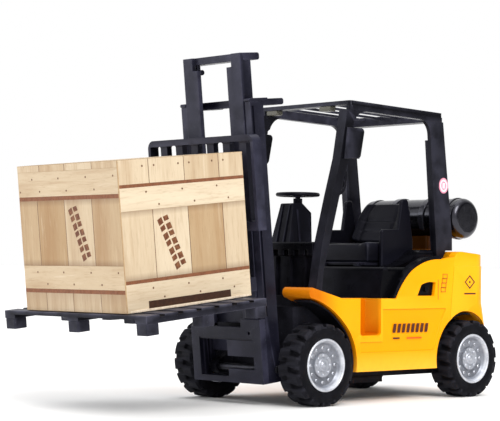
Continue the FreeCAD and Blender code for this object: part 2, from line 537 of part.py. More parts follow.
# Outer mast
def rail(side):
    shape = box(OUTER_RAIL_IN, OUTER_RAIL_OUT, OUTER_FRONT, OUTER_BACK, OUTER_BOTTOM, OUTER_TOP)
    inner_groove = box(OUTER_RAIL_IN - 1, OUTER_RAIL_IN + 1.2, -12.5, -9.6, OUTER_BOTTOM - 1, OUTER_TOP + 1)
    outer_groove = box(OUTER_RAIL_OUT - 0.5, OUTER_RAIL_OUT + 1, -12.9, -11.9, 34.0, OUTER_TOP - 1.5)
    pin_hole = cyl(PIN_R, (10, PIVOT_BACK, PIVOT_UP), (22, PIVOT_BACK, PIVOT_UP))
    shape = shape.cut(inner_groove).cut(outer_groove).cut(pin_hole)
    return shape if side > 0 else shape.mirror(Vec(0, 0, 0), Vec(1, 0, 0))


put_tilted("outer_mast_left", rail(1))
put_tilted("outer_mast_right", rail(-1))
top_beam = [box(-OUTER_RAIL_OUT, OUTER_RAIL_OUT, -8.3, -4.6, OUTER_TOP - 1.5, OUTER_TOP + 1.3)]
for x0, x1, end_x0, end_x1 in [(-OUTER_RAIL_OUT, -13.5, -OUTER_RAIL_OUT, -OUTER_RAIL_IN),
                               (13.5, OUTER_RAIL_OUT, OUTER_RAIL_IN, OUTER_RAIL_OUT)]:
    arm = box(x0, x1, -5.0, 3.4, OUTER_TOP - 1.5, OUTER_TOP + 0.9)
    top_beam.append(rounded(arm, 0.9, lambda edge: along(edge, 0) and edge.CenterOfMass.y > 3.3))
    cap = box(end_x0, end_x1, -14.0, -5.0, OUTER_TOP, OUTER_TOP + 1.3)
    top_beam.append(rounded(cap, 0.6, lambda edge: along(edge, 0) and edge.CenterOfMass.y < -13.9))
beam = fuse(top_beam)
for rail_x in (-OUTER_RAIL_OUT - 1, OUTER_RAIL_IN):
    beam = beam.cut(box(rail_x, rail_x + 4, -9, OUTER_BACK, 100, OUTER_TOP))
put_tilted("outer_mast_top_beam", beam)
PLATE_BACK = -14.3
plate = box(-OUTER_RAIL_OUT, OUTER_RAIL_OUT, PLATE_FRONT, PLATE_BACK, 9.6, 30.2)
plate = plate.cut(box(-14.7, 0.6, PLATE_FRONT - 1, PLATE_BACK + 1, 11.8, 25.4))
plate = plate.cut(box(0.5, 14.6, PLATE_FRONT - 1, PLATE_BACK + 1, 14.7, 19.4))
plate = plate.cut(box(-14.7, 14.6, PLATE_FRONT - 1, PLATE_FRONT + 0.35, 25.4, 26.0))
plate_block = box(8.6, OUTER_RAIL_OUT, PLATE_FRONT, PLATE_BACK, 30.1, 33.2)
cheeks = [box(OUTER_RAIL_IN, OUTER_RAIL_OUT, PLATE_BACK - 0.1, OUTER_FRONT, 9.6, 33.2),
          box(-OUTER_RAIL_OUT, -OUTER_RAIL_IN, PLATE_BACK - 0.1, OUTER_FRONT, 9.6, 30.2)]
bolt_hole = cyl(0.6, (12.8, PLATE_FRONT - 1, 28.1), (12.8, PLATE_FRONT + 1.0, 28.1))
put_tilted("outer_mast_front_plate", fuse([plate, plate_block] + cheeks).cut(bolt_hole))
back_ties = [box(-OUTER_RAIL_IN, OUTER_RAIL_IN, -8.4, OUTER_BACK, 20.0, 28.0),
             box(-OUTER_RAIL_IN, OUTER_RAIL_IN, -8.4, OUTER_BACK, 62.0, 68.0)]
put_tilted("outer_mast_ties", *back_ties)
PIN_END = OUTER_RAIL_OUT + 0.6
put_tilted("tilt_pin", cyl(PIN_R, (-PIN_END, PIVOT_BACK, PIVOT_UP), (PIN_END, PIVOT_BACK, PIVOT_UP)))


# Inner mast
TOP_BAR = 2.7


def upright(side):
    front_wall = box(INNER_HALF_IN, INNER_HALF_OUT, INNER_FRONT, -12.2, INNER_BOTTOM, INNER_TOP)
    outer_wall = box(13.9, INNER_HALF_OUT, INNER_FRONT, INNER_BACK, INNER_BOTTOM, INNER_TOP)
    back_wall = box(11.8, INNER_HALF_OUT, -10.6, INNER_BACK, INNER_BOTTOM, INNER_TOP)
    tongue = box(INNER_HALF_OUT - 0.1, OUTER_RAIL_IN + 0.9, -12.2, -9.9, INNER_BOTTOM, INNER_BOTTOM + 40)
    shape = fuse([front_wall, outer_wall, back_wall, tongue])
    shape = shape.cut(box(INNER_HALF_IN - 1, 10.6, INNER_FRONT - 1, -12, 125.2, INNER_TOP + 1))
    shape = shape.cut(box(0, 20, -12.2, 0, INNER_TOP - TOP_BAR, INNER_TOP + 1))
    return shape if side > 0 else shape.mirror(Vec(0, 0, 0), Vec(1, 0, 0))


put_tilted("inner_mast_left", upright(1))
put_tilted("inner_mast_right", upright(-1))
top_bar = box(-INNER_HALF_OUT, INNER_HALF_OUT, -12.2, -4.2, INNER_TOP - TOP_BAR, INNER_TOP)
put_tilted("inner_mast_top_bar", rounded(top_bar, 0.9, lambda edge: along(edge, 0) and edge.CenterOfMass.y > -5))
put_tilted("inner_mast_tie", box(-11.8, 11.8, -10.6, INNER_BACK, INNER_BOTTOM, INNER_BOTTOM + 8),
           box(-11.8, 11.8, -10.6, INNER_BACK, 62.0, 68.0))
put_tilted("chain_rollers", *both_sides(cyl(1.0, (8.6, -10.7, 124.5), (11.75, -10.7, 124.5))))

# Carriage, load backrest and forks
bars = [box(-20.5, 20.5, CARRIAGE_FRONT, CARRIAGE_BACK, v0, v0 + 5.0) for v0 in (66.0, 44.0)]
for x0 in (-6.6, 3.2):
    bars.append(box(x0, x0 + 3.4, CARRIAGE_FRONT + 0.4, CARRIAGE_BACK, 44.5, 70.0))
hook = fuse([box(4.2, 7.2, CARRIAGE_BACK - 0.2, -10.9, 61.6, 71.0), box(7.1, 11.4, -11.9, -10.9, 61.6, 71.0)])
put_tilted("carriage_plate", fuse(bars + both_sides(hook)))
BAR_WIDTH = 3.7
REST_FRONT = -22.8
REST_BACK = -18.8
BAR_SINK = 1.7
rest_outline = [(-REST_HALF, 66.0), (-REST_HALF, REST_TOP - 3),
                ((-REST_HALF + 0.9, REST_TOP - 0.9), (-REST_HALF + 3, REST_TOP)), (REST_HALF - 3, REST_TOP),
                ((REST_HALF - 0.9, REST_TOP - 0.9), (REST_HALF, REST_TOP - 3)), (REST_HALF, 66.0)]
backrest = front_prism(rest_outline, REST_FRONT, REST_BACK)
rest_inside = REST_HALF + 0.5 - BAR_WIDTH / 2
backrest = backrest.cut(box(-rest_inside, rest_inside, REST_FRONT - 1, REST_FRONT + BAR_SINK, 69.2, REST_TOP - 2.3))
bar_places = [-REST_HALF - 0.5, -21.7, -13.0, -4.35, 4.35, 13.0, 21.7, REST_HALF + 0.5]
for left, right in zip(bar_places[:-1], bar_places[1:]):
    slot = box(left + BAR_WIDTH / 2, right - BAR_WIDTH / 2, -26, -18, 69.2, REST_TOP - 2.3)
    backrest = backrest.cut(rounded(slot, 0.8, lambda edge: along(edge, 1)))
carriage_space = box(-20.5, 20.5, CARRIAGE_FRONT, CARRIAGE_BACK, 60, 71.0)
put_tilted("load_backrest", backrest.cut(carriage_space))


def fork(side):
    x0, x1 = FORK_IN, FORK_IN + FORK_WIDTH
    blade = side_prism([(CARRIAGE_FRONT, 64.9), (CARRIAGE_FRONT, FORK_TOP - FORK_THICK),
                        (-60.0, FORK_TOP - FORK_THICK + 0.5), (-80.0, FORK_TOP - 1.1),
                        ((-80.5, FORK_TOP - 0.5), (-80.0, FORK_TOP)), (-25.4, FORK_TOP),
                        ((-24.0, FORK_TOP + 0.5), (-23.5, FORK_TOP + 1.8)), (-23.1, 64.9)], x0, x1)
    tip = top_prism([(x0, -20), (x0, -76.5), ((x0 + 0.9, -79.6), (x0 + 2.4, -80.6)), (x1 - 2.4, -80.6),
                     ((x1 - 0.9, -79.6), (x1, -76.5)), (x1, -20)], 30, 72)
    blade = blade.common(tip)
    return blade if side > 0 else blade.mirror(Vec(0, 0, 0), Vec(1, 0, 0))


put_tilted("fork_left", fork(1))
put_tilted("fork_right", fork(-1))

# Pallet
board_pitch = (PALLET_BACK - PALLET_FRONT - 5.8) / (BOARD_COUNT - 1)
BOARD_BOTTOM = 41.9
STRINGER_BOTTOM = 40.5
boards = []
for index in range(BOARD_COUNT):
    y0 = PALLET_FRONT + board_pitch * index
    boards.append(box(-PALLET_HALF, PALLET_HALF, y0, y0 + 5.8, BOARD_BOTTOM, PALLET_TOP))
FOOT_HALF = 3.0
foot_middles = (-PALLET_HALF + FOOT_HALF, 0.0, PALLET_HALF - FOOT_HALF)
for x in foot_middles:
    boards.append(box(x - FOOT_HALF, x + FOOT_HALF, PALLET_FRONT, PALLET_BACK, STRINGER_BOTTOM, BOARD_BOTTOM + 0.6))
put_tilted("pallet_deck", fuse(boards))
feet = []
for x in foot_middles:
    for y0 in (PALLET_FRONT, (PALLET_FRONT + PALLET_BACK - 5.4) / 2, PALLET_BACK - 5.4):
        foot = box(x - FOOT_HALF, x + FOOT_HALF, y0, y0 + 5.4, PALLET_BOTTOM, STRINGER_BOTTOM)
        feet.append(rounded(foot, 0.9, lambda edge: along(edge, 2)))
put_tilted("pallet_feet", *feet)

# Card crate
walls = box(-CRATE_HALF, CRATE_HALF, CRATE_FRONT, CRATE_BACK, CRATE_BOTTOM + CARD, CRATE_TOP - CARD)
inside = CRATE_HALF - CARD
walls = walls.cut(box(-inside, inside, CRATE_FRONT + CARD, CRATE_BACK - CARD, CRATE_BOTTOM, CRATE_TOP))
walls = rounded(walls, 0.3, lambda edge: along(edge, 2) and abs(edge.CenterOfMass.x) > CRATE_HALF - 0.01)
put_tilted("crate_walls", walls)
put_tilted("crate_lid", box(-CRATE_HALF, CRATE_HALF, CRATE_FRONT, CRATE_BACK, CRATE_TOP - CARD, CRATE_TOP))
base_top = CRATE_BOTTOM + CARD
put_tilted("crate_base", box(-CRATE_HALF, CRATE_HALF, CRATE_FRONT, CRATE_BACK, CRATE_BOTTOM, base_top))
flap_middle = (CRATE_HALF + 1.7, (CRATE_FRONT + CRATE_BACK) / 2)
flap = top_prism([(CRATE_HALF, CRATE_FRONT + 1), (flap_middle, (CRATE_HALF, CRATE_BACK - 1))],
                 CRATE_BOTTOM, base_top)
put_tilted("crate_flap", flap)

# The origin goes under the middle of the whole toy
everything = Part.makeCompound(list(nodes.values())).optimalBoundingBox(False)
ORIGIN_SHIFT = Vec(0, -(everything.YMin + everything.YMax) / 2, 0)
os.makedirs("parts", exist_ok=True)
for name, shape in nodes.items():
    shape.translate(ORIGIN_SHIFT)
    shape.exportStep("parts/" + name + ".step")
print("nodes", len(nodes), "front axle at Y", round(ORIGIN_SHIFT.y, 3), "box", everything)
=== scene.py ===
"""Looks for the toy forklift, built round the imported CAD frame. Lengths in the tables are millimetres."""
import json
import math

import bmesh
import bpy
from mathutils import Matrix, Vector

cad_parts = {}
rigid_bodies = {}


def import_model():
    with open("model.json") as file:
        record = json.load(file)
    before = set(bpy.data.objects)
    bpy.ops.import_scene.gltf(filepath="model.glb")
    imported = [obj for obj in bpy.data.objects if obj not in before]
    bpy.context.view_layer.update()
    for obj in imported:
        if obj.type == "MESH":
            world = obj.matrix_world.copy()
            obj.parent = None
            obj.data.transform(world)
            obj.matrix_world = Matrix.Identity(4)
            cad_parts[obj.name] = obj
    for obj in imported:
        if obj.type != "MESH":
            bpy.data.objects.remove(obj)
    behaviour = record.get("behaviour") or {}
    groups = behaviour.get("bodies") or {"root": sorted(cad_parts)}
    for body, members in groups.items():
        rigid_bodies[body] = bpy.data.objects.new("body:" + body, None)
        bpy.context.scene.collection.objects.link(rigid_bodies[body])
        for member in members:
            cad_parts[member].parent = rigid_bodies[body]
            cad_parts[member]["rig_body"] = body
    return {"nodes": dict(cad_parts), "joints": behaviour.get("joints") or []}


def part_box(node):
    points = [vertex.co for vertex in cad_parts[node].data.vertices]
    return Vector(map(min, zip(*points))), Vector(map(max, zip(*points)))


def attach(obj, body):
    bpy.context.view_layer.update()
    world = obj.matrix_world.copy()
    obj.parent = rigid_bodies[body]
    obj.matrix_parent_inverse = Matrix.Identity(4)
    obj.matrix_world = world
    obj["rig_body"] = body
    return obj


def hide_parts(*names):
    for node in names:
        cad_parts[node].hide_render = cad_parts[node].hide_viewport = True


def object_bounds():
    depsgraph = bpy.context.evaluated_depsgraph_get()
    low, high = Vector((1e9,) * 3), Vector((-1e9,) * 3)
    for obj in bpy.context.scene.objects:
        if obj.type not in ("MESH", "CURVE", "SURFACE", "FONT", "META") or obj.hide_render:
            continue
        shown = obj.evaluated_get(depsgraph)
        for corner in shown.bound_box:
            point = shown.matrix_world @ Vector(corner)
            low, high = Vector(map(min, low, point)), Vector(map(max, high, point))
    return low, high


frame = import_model()
cad_low, cad_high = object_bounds()

MM = 0.001
NODES = frame["nodes"]

# The mast leans forward about the front axle's line on the floor; its slide joint gives the lean
lift_axis = next(j["axis"] for j in frame["joints"] if j["name"] == "inner_mast_lift")
LEAN = math.atan2(-lift_axis[1], lift_axis[2])
axle_low, axle_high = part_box("front_axle_rod")
AXLE_Y = (axle_low.y + axle_high.y) / 2
AXLE_Z = (axle_low.z + axle_high.z) / 2
rear_low, rear_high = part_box("rear_axle_rod")
REAR_Y = (rear_low.y + rear_high.y) / 2


def body(x, y, z):
    """A point given in mm with the front axle at Y = 0."""
    return Vector((x * MM, y * MM + AXLE_Y, z * MM))


def mast(x, u, v):
    """A point given in mm square to the mast (u, back positive) and along it (v)."""
    y = u * math.cos(LEAN) - v * math.sin(LEAN)
    z = u * math.sin(LEAN) + v * math.cos(LEAN)
    return body(x, y, z)


# ---------------------------------------------------------------- materials
class Look:
    """A node material, with short calls for its nodes."""

    def __init__(self, name, **sockets):
        self.mat = bpy.data.materials.new(name)
        self.mat.use_nodes = True
        self.nodes = self.mat.node_tree.nodes
        self.links = self.mat.node_tree.links
        self.shader = self.nodes["Principled BSDF"]
        self.place = self.nodes.new("ShaderNodeTexCoord").outputs["Object"]
        self.set(**sockets)

    def set(self, **sockets):
        for key, value in sockets.items():
            self.put(self.shader.inputs[key.replace("_", " ")], value)

    def put(self, socket, value):
        if isinstance(value, bpy.types.NodeSocket):
            self.links.new(value, socket)
        else:
            socket.default_value = value

    def new(self, kind, out=0, props=None, **inputs):
        node = self.nodes.new("ShaderNode" + kind)
        for key, value in (props or {}).items():
            setattr(node, key, value)
        for key, value in inputs.items():
            index = int(key[2:]) if key.startswith("in") and key[2:].isdigit() else key.replace("_", " ")
            self.put(node.inputs[index], value)
        return node.outputs[out]

    def math(self, op, a, b=0.0):
        return self.new("Math", props={"operation": op}, in0=a, in1=b)

    def noise(self, scale, detail=3.0, rough=0.5, vector=None, distortion=0.0):
        vector = self.place if vector is None else vector
        return self.new("TexNoise", Vector=vector, Scale=scale, Detail=detail, Roughness=rough,
                        Distortion=distortion)

    def ramp(self, fac, low, high, to_low=0.0, to_high=1.0):
        return self.new("MapRange", Value=fac, From_Min=low, From_Max=high, To_Min=to_low, To_Max=to_high)

    def product(self, *factors):
        """Several factors multiplied together."""
        result = factors[0]
        for factor in factors[1:]:
            result = self.math("MULTIPLY", result, factor)
        return result

    def zone(self, place, start, end, to_start=0.0, to_end=1.0):
        """A fade between two places given in mm."""
        return self.ramp(place, start * MM, end * MM, to_start, to_end)

    def mix(self, fac, a, b):
        node = self.nodes.new("ShaderNodeMix")
        node.data_type = "RGBA"
        for index, value in ((0, fac), (6, a), (7, b)):
            self.put(node.inputs[index], value)
        return node.outputs[2]

    def bump(self, height, strength, distance, normal=None):
        inputs = {"Height": height, "Strength": strength, "Distance": distance}
        if normal is not None:
            inputs["Normal"] = normal
        return self.new("Bump", **inputs)

    def stretched(self, x, y, z, turn=0.0):
        """Object coordinates scaled by axis, after a turn about X."""
        turned = self.new("Mapping", props={"vector_type": "POINT"}, Vector=self.place, Rotation=(turn, 0, 0))
        return self.new("Mapping", props={"vector_type": "POINT"}, Vector=turned, Scale=(x, y, z))


def linear(screen):
    """One linear colour channel from a screen value of 0 to 255."""
    share = screen / 255
    return ((share + 0.055) / 1.055) ** 2.4 if screen > 10 else share / 12.92


def rgb(red, green, blue):
    """A linear colour from screen values of 0 to 255."""
    return (linear(red), linear(green), linear(blue), 1.0)


def darker(colour, share):
    return tuple(channel * share for channel in colour[:3]) + (1.0,)


# A faint blue in every soft highlight on black plastic and rubber
COOL = (0.82, 0.82, 1.0, 1.0)


def moulded(name, colour, rough, tint=None, spec=0.5, coat=0.0, grain=1800.0, grain_depth=0.00002,
            grain_strength=0.25, mottle=0.12, wear_and_highlight=0.35, wear_and_highlight_colour=None, dust=0.0):
    """Moulded or painted plastic: fine grain, uneven gloss, and edges painted paler, partly as wear and
    partly as painted highlight.
    """
    look = Look(name, Specular_IOR_Level=spec, Specular_Tint=COOL, Coat_Weight=coat, Coat_Roughness=0.12)
    cloud = look.noise(95.0, 4.0, 0.6)
    fine = look.noise(grain, 2.0, 0.5)
    base = look.mix(look.ramp(cloud, 0.3, 0.7), darker(colour, 1 - mottle), colour)
    if tint is not None:
        base = look.mix(look.ramp(look.noise(38.0, 2.0), 0.42, 0.68, 0.0, 0.5), base, tint)
    if wear_and_highlight_colour is not None:
        # Sharp edges painted paler: partly wear, partly painted highlight
        edge = look.ramp(look.new("NewGeometry", out="Pointiness"), 0.515, 0.58, 0.0, wear_and_highlight)
        patchy = look.product(edge, look.ramp(look.noise(160.0, 4.0), 0.35, 0.6, 0.3, 1.0))
        base = look.mix(patchy, base, wear_and_highlight_colour)
    if dust:
        specks = look.ramp(look.noise(2600.0, 1.0), 0.70, 0.76, 0.0, dust)
        base = look.mix(specks, base, rgb(150, 150, 160))
    smear = look.noise(210.0, 5.0, 0.65)
    uneven = look.ramp(smear, 0.3, 0.7, max(rough - 0.06, 0.04), rough + 0.08)
    normal = look.bump(fine, grain_strength, grain_depth)
    normal = look.bump(look.noise(60.0, 2.0), 0.12, 0.0002, normal)
    look.set(Base_Color=base, Roughness=uneven, Normal=normal)
    return look.mat


def make_yellow():
    """Yellow enamel with painted shade in orange in hollows, on set-back faces and under the nose, painted
    highlight paler on edges, and a painted reflection paler on the sill.
    """
    look = Look("yellow_enamel", Specular_IOR_Level=0.07, Coat_Weight=0.05, Coat_Roughness=0.14)
    place = look.nodes.new("ShaderNodeSeparateXYZ")
    look.put(place.inputs[0], look.place)
    off_centre = look.math("ABSOLUTE", place.outputs["X"])
    along = look.math("SUBTRACT", place.outputs["Y"], AXLE_Y)
    height = place.outputs["Z"]
    pointed = look.new("NewGeometry", out="Pointiness")
    paint = look.mix(look.ramp(look.noise(45.0, 3.0), 0.35, 0.7), (0.93, 0.335, 0.0, 1),
                     (0.97, 0.375, 0.0, 1))

    # Painted shade in orange: side faces that lie further in, ahead of the seat, and the nose
    inward = look.product(look.zone(off_centre, 30.5, 29.0), look.zone(height, 49.0, 44.0),
                          look.zone(along, 40.0, 34.0))
    nose = look.zone(along, 9.0, -1.0)
    shaded = look.math("MAXIMUM", inward, nose)
    paint = look.mix(look.product(shaded, 0.85), paint, (0.48, 0.095, 0.0, 1))
    # Painted shade: a deeper orange in hollows
    paint = look.mix(look.ramp(pointed, 0.44, 0.49, 0.75, 0.0), paint, (0.66, 0.16, 0.0, 1))

    # The sill is paler, a painted reflection of the floor, and darker in patches towards its lower edge
    sill = look.product(look.zone(height, 19.2, 12.5, 0.0, 0.55), look.math("SUBTRACT", 1.0, shaded))
    paint = look.mix(sill, paint, (1.0, 0.52, 0.06, 1))
    low_edge_patches = look.product(look.zone(height, 12.0, 18.0, 0.2, 0.0),
                         look.ramp(look.noise(420.0, 5.0, 0.7), 0.45, 0.75))
    paint = look.mix(low_edge_patches, paint, rgb(160, 104, 20))
    # Painted highlight: sharp edges a paler yellow
    paint = look.mix(look.ramp(pointed, 0.52, 0.6, 0.0, 0.4), paint, (1.0, 0.50, 0.02, 1))
    specks = look.ramp(look.noise(2300.0, 1.0), 0.72, 0.78, 0.0, 0.22)
    paint = look.mix(specks, paint, rgb(150, 96, 10))

    # Painted shadow under the tank: the tank's saddle is nearly black
    under_tank_shadow = look.product(look.zone(height, 56.5, 58.5), look.zone(off_centre, 14.5, 13.5), 0.96)
    paint = look.mix(under_tank_shadow, paint, (0.030, 0.008, 0.002, 1))
    gloss = look.ramp(look.noise(170.0, 4.0), 0.3, 0.7, 0.30, 0.42)
    look.set(Base_Color=paint, Roughness=gloss, Normal=look.bump(look.noise(900.0, 2.0), 0.10, 0.00005))
    return look.mat


def make_rubber():
    look = Look("tyre_rubber", Specular_IOR_Level=0.09, Specular_Tint=COOL)
    colour = look.mix(look.ramp(look.noise(240.0, 5.0, 0.65), 0.35, 0.7), rgb(9, 9, 11), rgb(18, 18, 22))
    colour = look.mix(look.ramp(look.noise(1900.0, 2.0), 0.62, 0.75, 0.0, 0.3), colour, rgb(52, 52, 56))
    # Sharp edges painted paler: partly wear, partly painted highlight
    edge = look.ramp(look.new("NewGeometry", out="Pointiness"), 0.51, 0.57, 0.0, 0.35)
    colour = look.mix(edge, colour, rgb(50, 50, 58))
    grain = look.bump(look.noise(2400.0, 3.0), 0.35, 0.00004)
    look.set(Base_Color=colour, Roughness=look.ramp(look.noise(330.0, 4.0), 0.3, 0.7, 0.55, 0.78),
             Normal=look.bump(look.noise(260.0, 3.0), 0.2, 0.00012, grain))
    return look.mat


def cloudy_metal(look, colour, rough):
    """Finishes a plated or drawn metal: darker in the hollows, fine dust and uneven polish."""
    hollow = look.ramp(look.new("NewGeometry", out="Pointiness"), 0.44, 0.5, 0.5, 0.0)
    colour = look.mix(hollow, colour, rgb(48, 50, 56))
    colour = look.mix(look.ramp(look.noise(2600.0, 1.0), 0.68, 0.75, 0.0, 0.5), colour, rgb(90, 92, 98))
    polish = look.ramp(look.noise(500.0, 4.0), 0.3, 0.7, rough - 0.07, rough + 0.1)
    look.set(Base_Color=colour, Roughness=polish, Normal=look.bump(look.noise(1500.0, 2.0), 0.12, 0.00003))
    return look.mat


def make_silver(name, bright, dark, rough, metallic):
    """Metal or silver paint, cloudy and finely dusted."""
    look = Look(name, Metallic=metallic)
    cloud = look.ramp(look.noise(330.0, 4.0, 0.6), 0.3, 0.68)
    return cloudy_metal(look, look.mix(cloud, dark, bright), rough)


def make_rim():
    """Silver rims: bright lip, grey dish, dark ring, bright hub, by distance from the nearer axle."""
    look = Look("rim_plating", Metallic=0.5)
    place = look.nodes.new("ShaderNodeSeparateXYZ")
    look.put(place.inputs[0], look.place)
    rise = look.math("SUBTRACT", place.outputs["Z"], AXLE_Z)
    radii = []
    for axle_y in (AXLE_Y, REAR_Y):
        shift = look.math("SUBTRACT", place.outputs["Y"], axle_y)
        square = look.math("ADD", look.product(shift, shift), look.product(rise, rise))
        radii.append(look.math("SQRT", square))
    radius = look.math("MINIMUM", *radii)
    cloud = look.ramp(look.noise(330.0, 4.0, 0.6), 0.3, 0.68)
    dish = look.product(look.zone(radius, 4.6, 5.0), look.zone(radius, 8.5, 8.0), 0.9)
    hub = look.product(look.zone(radius, 4.6, 4.4), 0.75)
    ring = look.product(look.zone(radius, 4.1, 4.4), look.zone(radius, 5.0, 4.7), 0.7)
    colour = look.mix(cloud, rgb(176, 180, 190), rgb(216, 219, 226))
    colour = look.mix(dish, colour, look.mix(cloud, rgb(104, 108, 118), rgb(136, 140, 150)))
    colour = look.mix(hub, colour, look.mix(cloud, rgb(132, 136, 146), rgb(168, 172, 182)))
    colour = look.mix(ring, colour, rgb(86, 90, 100))
    return cloudy_metal(look, colour, 0.34)


def make_wood():
    """Printed boards, by point values: tone (colour), way (grain, 0 up or 1 across) and shade (painted shade
    at a dark end, under a strip).
    """
    look = Look("printed_boards", Specular_IOR_Level=0.3)
    up = look.stretched(260.0, 260.0, 22.0, -LEAN)
    across = look.stretched(30.0, 30.0, 300.0, -LEAN)
    tone = look.new("Attribute", out="Fac", props={"attribute_name": "tone"})
    way = look.new("Attribute", out="Fac", props={"attribute_name": "way"})
    shade = look.new("Attribute", out="Fac", props={"attribute_name": "shade"})
    shifted = [look.new("VectorMath", props={"operation": "ADD"}, in0=space,
                        in1=look.new("CombineXYZ", X=look.math("MULTIPLY", tone, 37.0), Y=0.0, Z=0.0))
               for space in (up, across)]
    space = look.new("Mix", out=1, props={"data_type": "VECTOR"}, in0=way, in4=shifted[0], in5=shifted[1])
    broad = look.noise(0.55, 4.0, 0.55, space, 0.6)
    streak = look.noise(2.6, 5.0, 0.65, space, 0.3)
    fine = look.noise(9.0, 3.0, 0.6, space)
    pale, mid, amber = rgb(208, 192, 166), rgb(168, 140, 104), rgb(146, 108, 68)
    board = look.mix(look.ramp(tone, 0.0, 1.0), pale, mid)
    stained = look.product(look.ramp(broad, 0.46, 0.74, 0.0, 0.7), look.ramp(tone, 0.0, 0.8, 0.25, 1.0))
    board = look.mix(stained, board, amber)
    board = look.mix(look.ramp(streak, 0.52, 0.74, 0.0, 0.38), board, rgb(150, 114, 76))
    board = look.mix(look.ramp(fine, 0.58, 0.74, 0.0, 0.28), board, rgb(120, 90, 62))
    board = look.mix(look.ramp(streak, 0.42, 0.27, 0.0, 0.35), board, rgb(218, 204, 180))
    # Painted shade: boards darken where they run under a strip
    board = look.mix(shade, board, rgb(84, 50, 30))
    look.set(Base_Color=board, Roughness=look.ramp(fine, 0.3, 0.7, 0.42, 0.6),
             Normal=look.bump(streak, 0.08, 0.0001))
    return look.mat


def make_print(name, colour, rough=0.5, speck=None):
    """Ink or a thin label, slightly uneven where it was printed."""
    look = Look(name, Specular_IOR_Level=0.35)
    worn = look.ramp(look.noise(900.0, 4.0, 0.7), 0.42, 0.66, 0.0, 0.55)
    uneven = look.ramp(look.noise(600.0), 0.3, 0.7, rough - 0.1, rough + 0.1)
    look.set(Base_Color=look.mix(worn, colour, speck or darker(colour, 0.7)), Roughness=uneven)
    return look.mat


LOOKS = {
    "yellow": make_yellow(),
    "hood": moulded("hood_plastic", rgb(4, 4, 6), 0.30, tint=rgb(7, 7, 11), spec=0.06, coat=0.02,
                    wear_and_highlight_colour=rgb(52, 52, 64), wear_and_highlight=0.16, grain=1500.0),
    "cab": moulded("cab_plastic", rgb(9, 9, 15), 0.40, tint=rgb(15, 15, 24), spec=0.10,
                   wear_and_highlight_colour=rgb(60, 60, 76)),
    "seat": moulded("seat_plastic", rgb(9, 9, 15), 0.40, tint=rgb(15, 15, 24), spec=0.12, grain=1250.0,
                    grain_depth=0.00006, grain_strength=0.5, wear_and_highlight_colour=rgb(66, 68, 86)),
    "guard": moulded("guard_satin", rgb(5, 5, 9), 0.36, tint=rgb(9, 9, 15), spec=0.17,
                     wear_and_highlight_colour=rgb(80, 80, 96)),
    "mast": moulded("mast_satin", rgb(13, 13, 23), 0.38, tint=rgb(21, 21, 35), spec=0.22,
                    wear_and_highlight_colour=rgb(90, 90, 112), dust=0.12),
    "frame": moulded("chassis_plastic", rgb(9, 9, 13), 0.5, tint=rgb(15, 15, 21), spec=0.08,
                     wear_and_highlight_colour=rgb(56, 56, 66), dust=0.12),
    "pallet": moulded("pallet_plastic", rgb(9, 9, 14), 0.42, tint=rgb(15, 15, 23), spec=0.10, wear_and_highlight=0.7,
                      wear_and_highlight_colour=rgb(92, 92, 108), dust=0.12),
    "tank": moulded("tank_gloss", rgb(7, 7, 11), 0.2, tint=rgb(12, 12, 18), spec=0.55, coat=0.22,
                    wear_and_highlight_colour=rgb(96, 96, 110), wear_and_highlight=0.5),
    "vent": moulded("vent_plastic", rgb(6, 6, 8), 0.4, spec=0.1),
    "lamp": moulded("lamp_casing", rgb(92, 92, 80), 0.4, tint=rgb(74, 64, 50), spec=0.3,
                    wear_and_highlight_colour=rgb(140, 140, 130)),
    "rubber": make_rubber(),
    "rim": make_rim(),
    "bolt": make_silver("bolt_plating", rgb(226, 229, 236), rgb(186, 190, 198), 0.28, 0.5),
    "steel": make_silver("axle_steel", rgb(70, 70, 78), rgb(44, 44, 50), 0.4, 0.8),
    "boards": make_wood(),
    "groove": make_print("board_gap_print", rgb(126, 78, 50), 0.6, rgb(84, 48, 30)),
    "card": make_print("card_edge", rgb(176, 148, 112), 0.65, rgb(146, 116, 82)),
    "flap": make_print("card_flap", rgb(214, 200, 180), 0.65, rgb(176, 152, 124)),
    "notch": make_print("notch_shadow", rgb(50, 28, 16), 0.6, rgb(74, 42, 24)),
    "stencil": make_print("stencil_print", rgb(92, 48, 26), 0.55, rgb(150, 104, 66)),
    "nail": make_print("nail_print", rgb(104, 70, 46), 0.5, rgb(60, 40, 28)),
    "mark": make_print("maroon_print", rgb(70, 22, 10), 0.4, rgb(90, 30, 10)),
    "red_mark": make_print("orange_print", rgb(214, 84, 6), 0.4),
    # Painted shade: the orange of the raised frames and the line beside them
    "line": make_print("emboss_painted_shade", rgb(208, 112, 6), 0.4),
    "sticker_red": make_print("sticker_red", rgb(220, 136, 158), 0.35, rgb(212, 156, 172)),
    "sticker_white": make_print("sticker_white", rgb(240, 222, 230), 0.35, rgb(228, 188, 202)),
}


# ---------------------------------------------------------------- mesh helpers
def link(name, mesh, look, body_name, replaces=()):
    piece = bpy.data.objects.new(name, mesh)
    bpy.context.scene.collection.objects.link(piece)
    if look:
        mesh.materials.clear()
        mesh.materials.append(LOOKS[look])
    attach(piece, body_name)
    if replaces:
        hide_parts(*replaces)
    return piece


def finish_mesh(name, bm, smooth_angle=35.0):
    bmesh.ops.recalc_face_normals(bm, faces=bm.faces)
    mesh = bpy.data.meshes.new(name)
    bm.to_mesh(mesh)
    bm.free()
    mesh.polygons.foreach_set("use_smooth", [True] * len(mesh.polygons))
    mesh.set_sharp_from_angle(angle=math.radians(smooth_angle))
    return mesh


FLAT_LIMIT = math.radians(1.0)
SHARP_LIMIT = math.radians(32)
VOLUME_LOSS = 0.06  # share of a node's volume that its rounded edges may take


